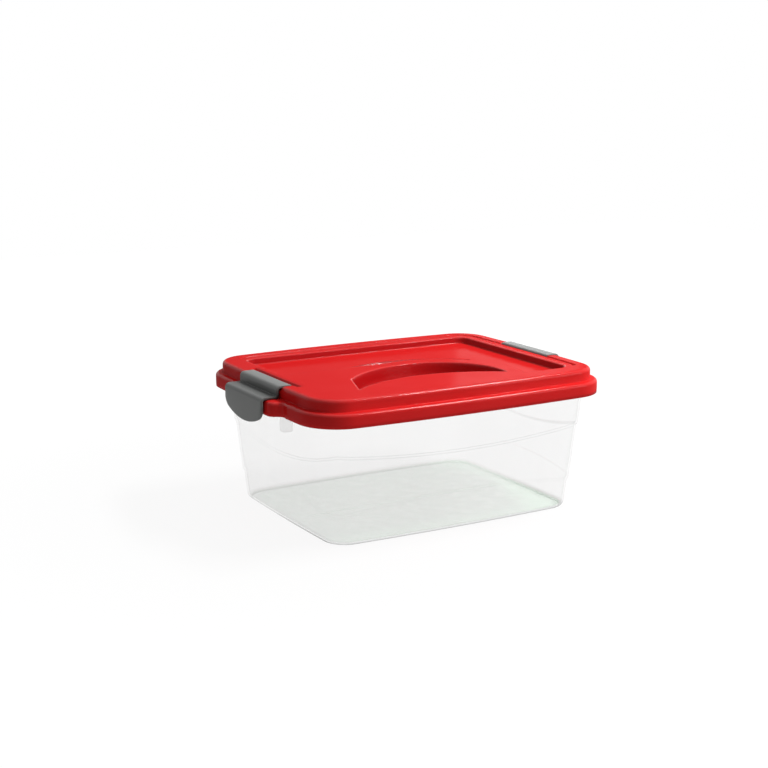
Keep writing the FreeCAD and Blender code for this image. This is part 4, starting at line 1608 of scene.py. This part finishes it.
@dataclass(frozen=True)
class Lamp:
    """Rectangular lamp: where it stands, its two side lengths and its power in watts."""

    name: str
    place: Place
    size: tuple[float, float]
    power: float

    def build(self, target: Place) -> None:
        """Add the lamp and point it at the target.

        Args:
            target: Point that the lamp's axis passes through.
        """
        data = bpy.data.lights.new(self.name, "AREA")
        data.shape = "RECTANGLE"
        data.size, data.size_y = self.size
        data.energy = self.power
        made = bpy.data.objects.new(self.name, data)
        made.location = self.place
        away = Vector(target) - Vector(self.place)
        made.rotation_euler = away.to_track_quat("-Z", "Y").to_euler()
        bpy.context.scene.collection.objects.link(made)


@dataclass(frozen=True)
class Studio:
    """White floor, white background, soft lamps and the camera at the photograph's angle."""

    azimuth: float = math.radians(-30.75)
    elevation: float = math.radians(14.40)
    distance: float = 1.600
    target: Place = (0.0, 0.0, 0.070)
    lens: float = 66.47
    aim_left: float = 0.0230
    aim_up: float = 0.0630
    floor_half: float = 2.4
    ambient: float = 0.12
    floor_grey: float = 0.09
    lift: float = 0.35
    glow: float = 0.92
    far_glow: float = 1.0
    near: float = 0.30
    far: float = 1.10
    lamps: tuple[Lamp, ...] = (
        Lamp("key_right", (0.96, -0.50, 1.65), (1.00, 0.25), 28.0),
        Lamp("overhead", (0.20, 0.10, 1.70), (1.40, 1.40), 6.0),
        Lamp("fill_front", (1.10, -1.10, 0.45), (0.80, 0.80), 6.0),
        Lamp("back_right", (1.16, 1.42, 0.61), (0.30, 0.40), 1.0),
    )

    def back(self) -> Vector:
        """Unit vector from the target towards the camera, from its azimuth and elevation."""
        x, y, level = math.sin(self.azimuth), -math.cos(self.azimuth), math.cos(self.elevation)
        return Vector((x * level, y * level, math.sin(self.elevation)))

    def camera(self) -> None:
        """Make the camera and aim it a little to the left of the target and above it."""
        back = self.back()
        right = Vector((0.0, 0.0, 1.0)).cross(back).normalized()
        up = back.cross(right)
        spot = Vector(self.target) + back * self.distance
        aim = Vector(self.target) - right * self.aim_left + up * self.aim_up
        data = bpy.data.cameras.new("view")
        data.lens = self.lens
        made = bpy.data.objects.new("view", data)
        made.location = spot
        made.rotation_euler = (aim - spot).to_track_quat("-Z", "Y").to_euler()
        bpy.context.scene.collection.objects.link(made)
        bpy.context.scene.camera = made

    @staticmethod
    def seen_directly(graph: Graph) -> Shade:
        """1 for rays that come from the camera, straight, by a gloss or through the clear pieces.

        Args:
            graph: Graph that the value belongs to.

        Returns:
            The value, 0 or 1.
        """
        path = graph.node("ShaderNodeLightPath", {}, {})
        kinds = ("Is Camera Ray", "Is Glossy Ray", "Is Transmission Ray")
        straight, gloss, through = (Shade(graph, path.outputs[kind]) for kind in kinds)
        return (straight + gloss + through).held()

    def world(self) -> None:
        """White background for the eye, and a weaker even light on the pieces."""
        made = bpy.data.worlds.new("studio")
        graph = Graph(made)
        soft, plain = (
            graph.node(
                "ShaderNodeBackground", {}, {"Color": (1.0, 1.0, 1.0, 1.0), "Strength": strength}
            ).outputs[0]
            for strength in (self.ambient, 1.0)
        )
        inputs = {0: self.seen_directly(graph), 1: soft, 2: plain}
        sky = graph.node("ShaderNodeMixShader", {}, inputs)
        graph.node("ShaderNodeOutputWorld", {}, {"Surface": sky.outputs[0]})
        bpy.context.scene.world = made

    def floor(self) -> None:
        """Pale floor: its own light lifts it to white for the eye, and the shadow stays on it."""
        signs = np.array([[-1.0, -1.0, 0.0], [1.0, -1.0, 0.0], [1.0, 1.0, 0.0], [-1.0, 1.0, 0.0]])
        made = Surface(signs * self.floor_half, [np.arange(4)[None]]).build("studio_floor")
        paint = bpy.data.materials.new("studio_floor")
        graph = Graph(paint)
        place = graph.node("ShaderNodeTexCoord", {}, {}).outputs["Object"]
        reach = graph.node("ShaderNodeVectorMath", {"operation": "LENGTH"}, {0: place})
        past = Shade(graph, reach.outputs["Value"]) - self.near
        away = (past * (1.0 / (self.far - self.near))).held()
        eye = self.glow + (self.far_glow - self.glow) * away
        light = self.lift + self.seen_directly(graph) * (eye - self.lift)
        graph.surface(
            {
                "Base Color": (self.floor_grey, self.floor_grey, self.floor_grey, 1.0),
                "Roughness": 1.0,
                "Specular IOR Level": 0.0,
                "Emission Color": graph.blend(light, (0.0, 0.0, 0.0), (1.0, 1.0, 1.0)),
                "Emission Strength": 1.0,
            }
        )
        made.data.materials.append(paint)

    def build(self) -> None:
        """Set up the whole studio."""
        bpy.context.scene.view_settings.view_transform = "Standard"
        self.world()
        self.floor()
        for lamp in self.lamps:
            lamp.build(self.target)
        self.camera()


def main() -> None:
    """Build the studio and every piece of the box."""
    logging.basicConfig(level=logging.INFO, format="%(name)s: %(message)s")
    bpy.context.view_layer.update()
    Studio().build()
    finishes = (RedPlastic(), GreyPlastic(), ClearPlastic())
    dresser = Dresser({finish.name: finish.build() for finish in finishes})
    box = Box()
    for assembly in (Tub(box), Lid(box), Latch(End.LEFT), Latch(End.RIGHT)):
        assembly.dress(assembly.build(), dresser)


if __name__ == "__main__":
    main()
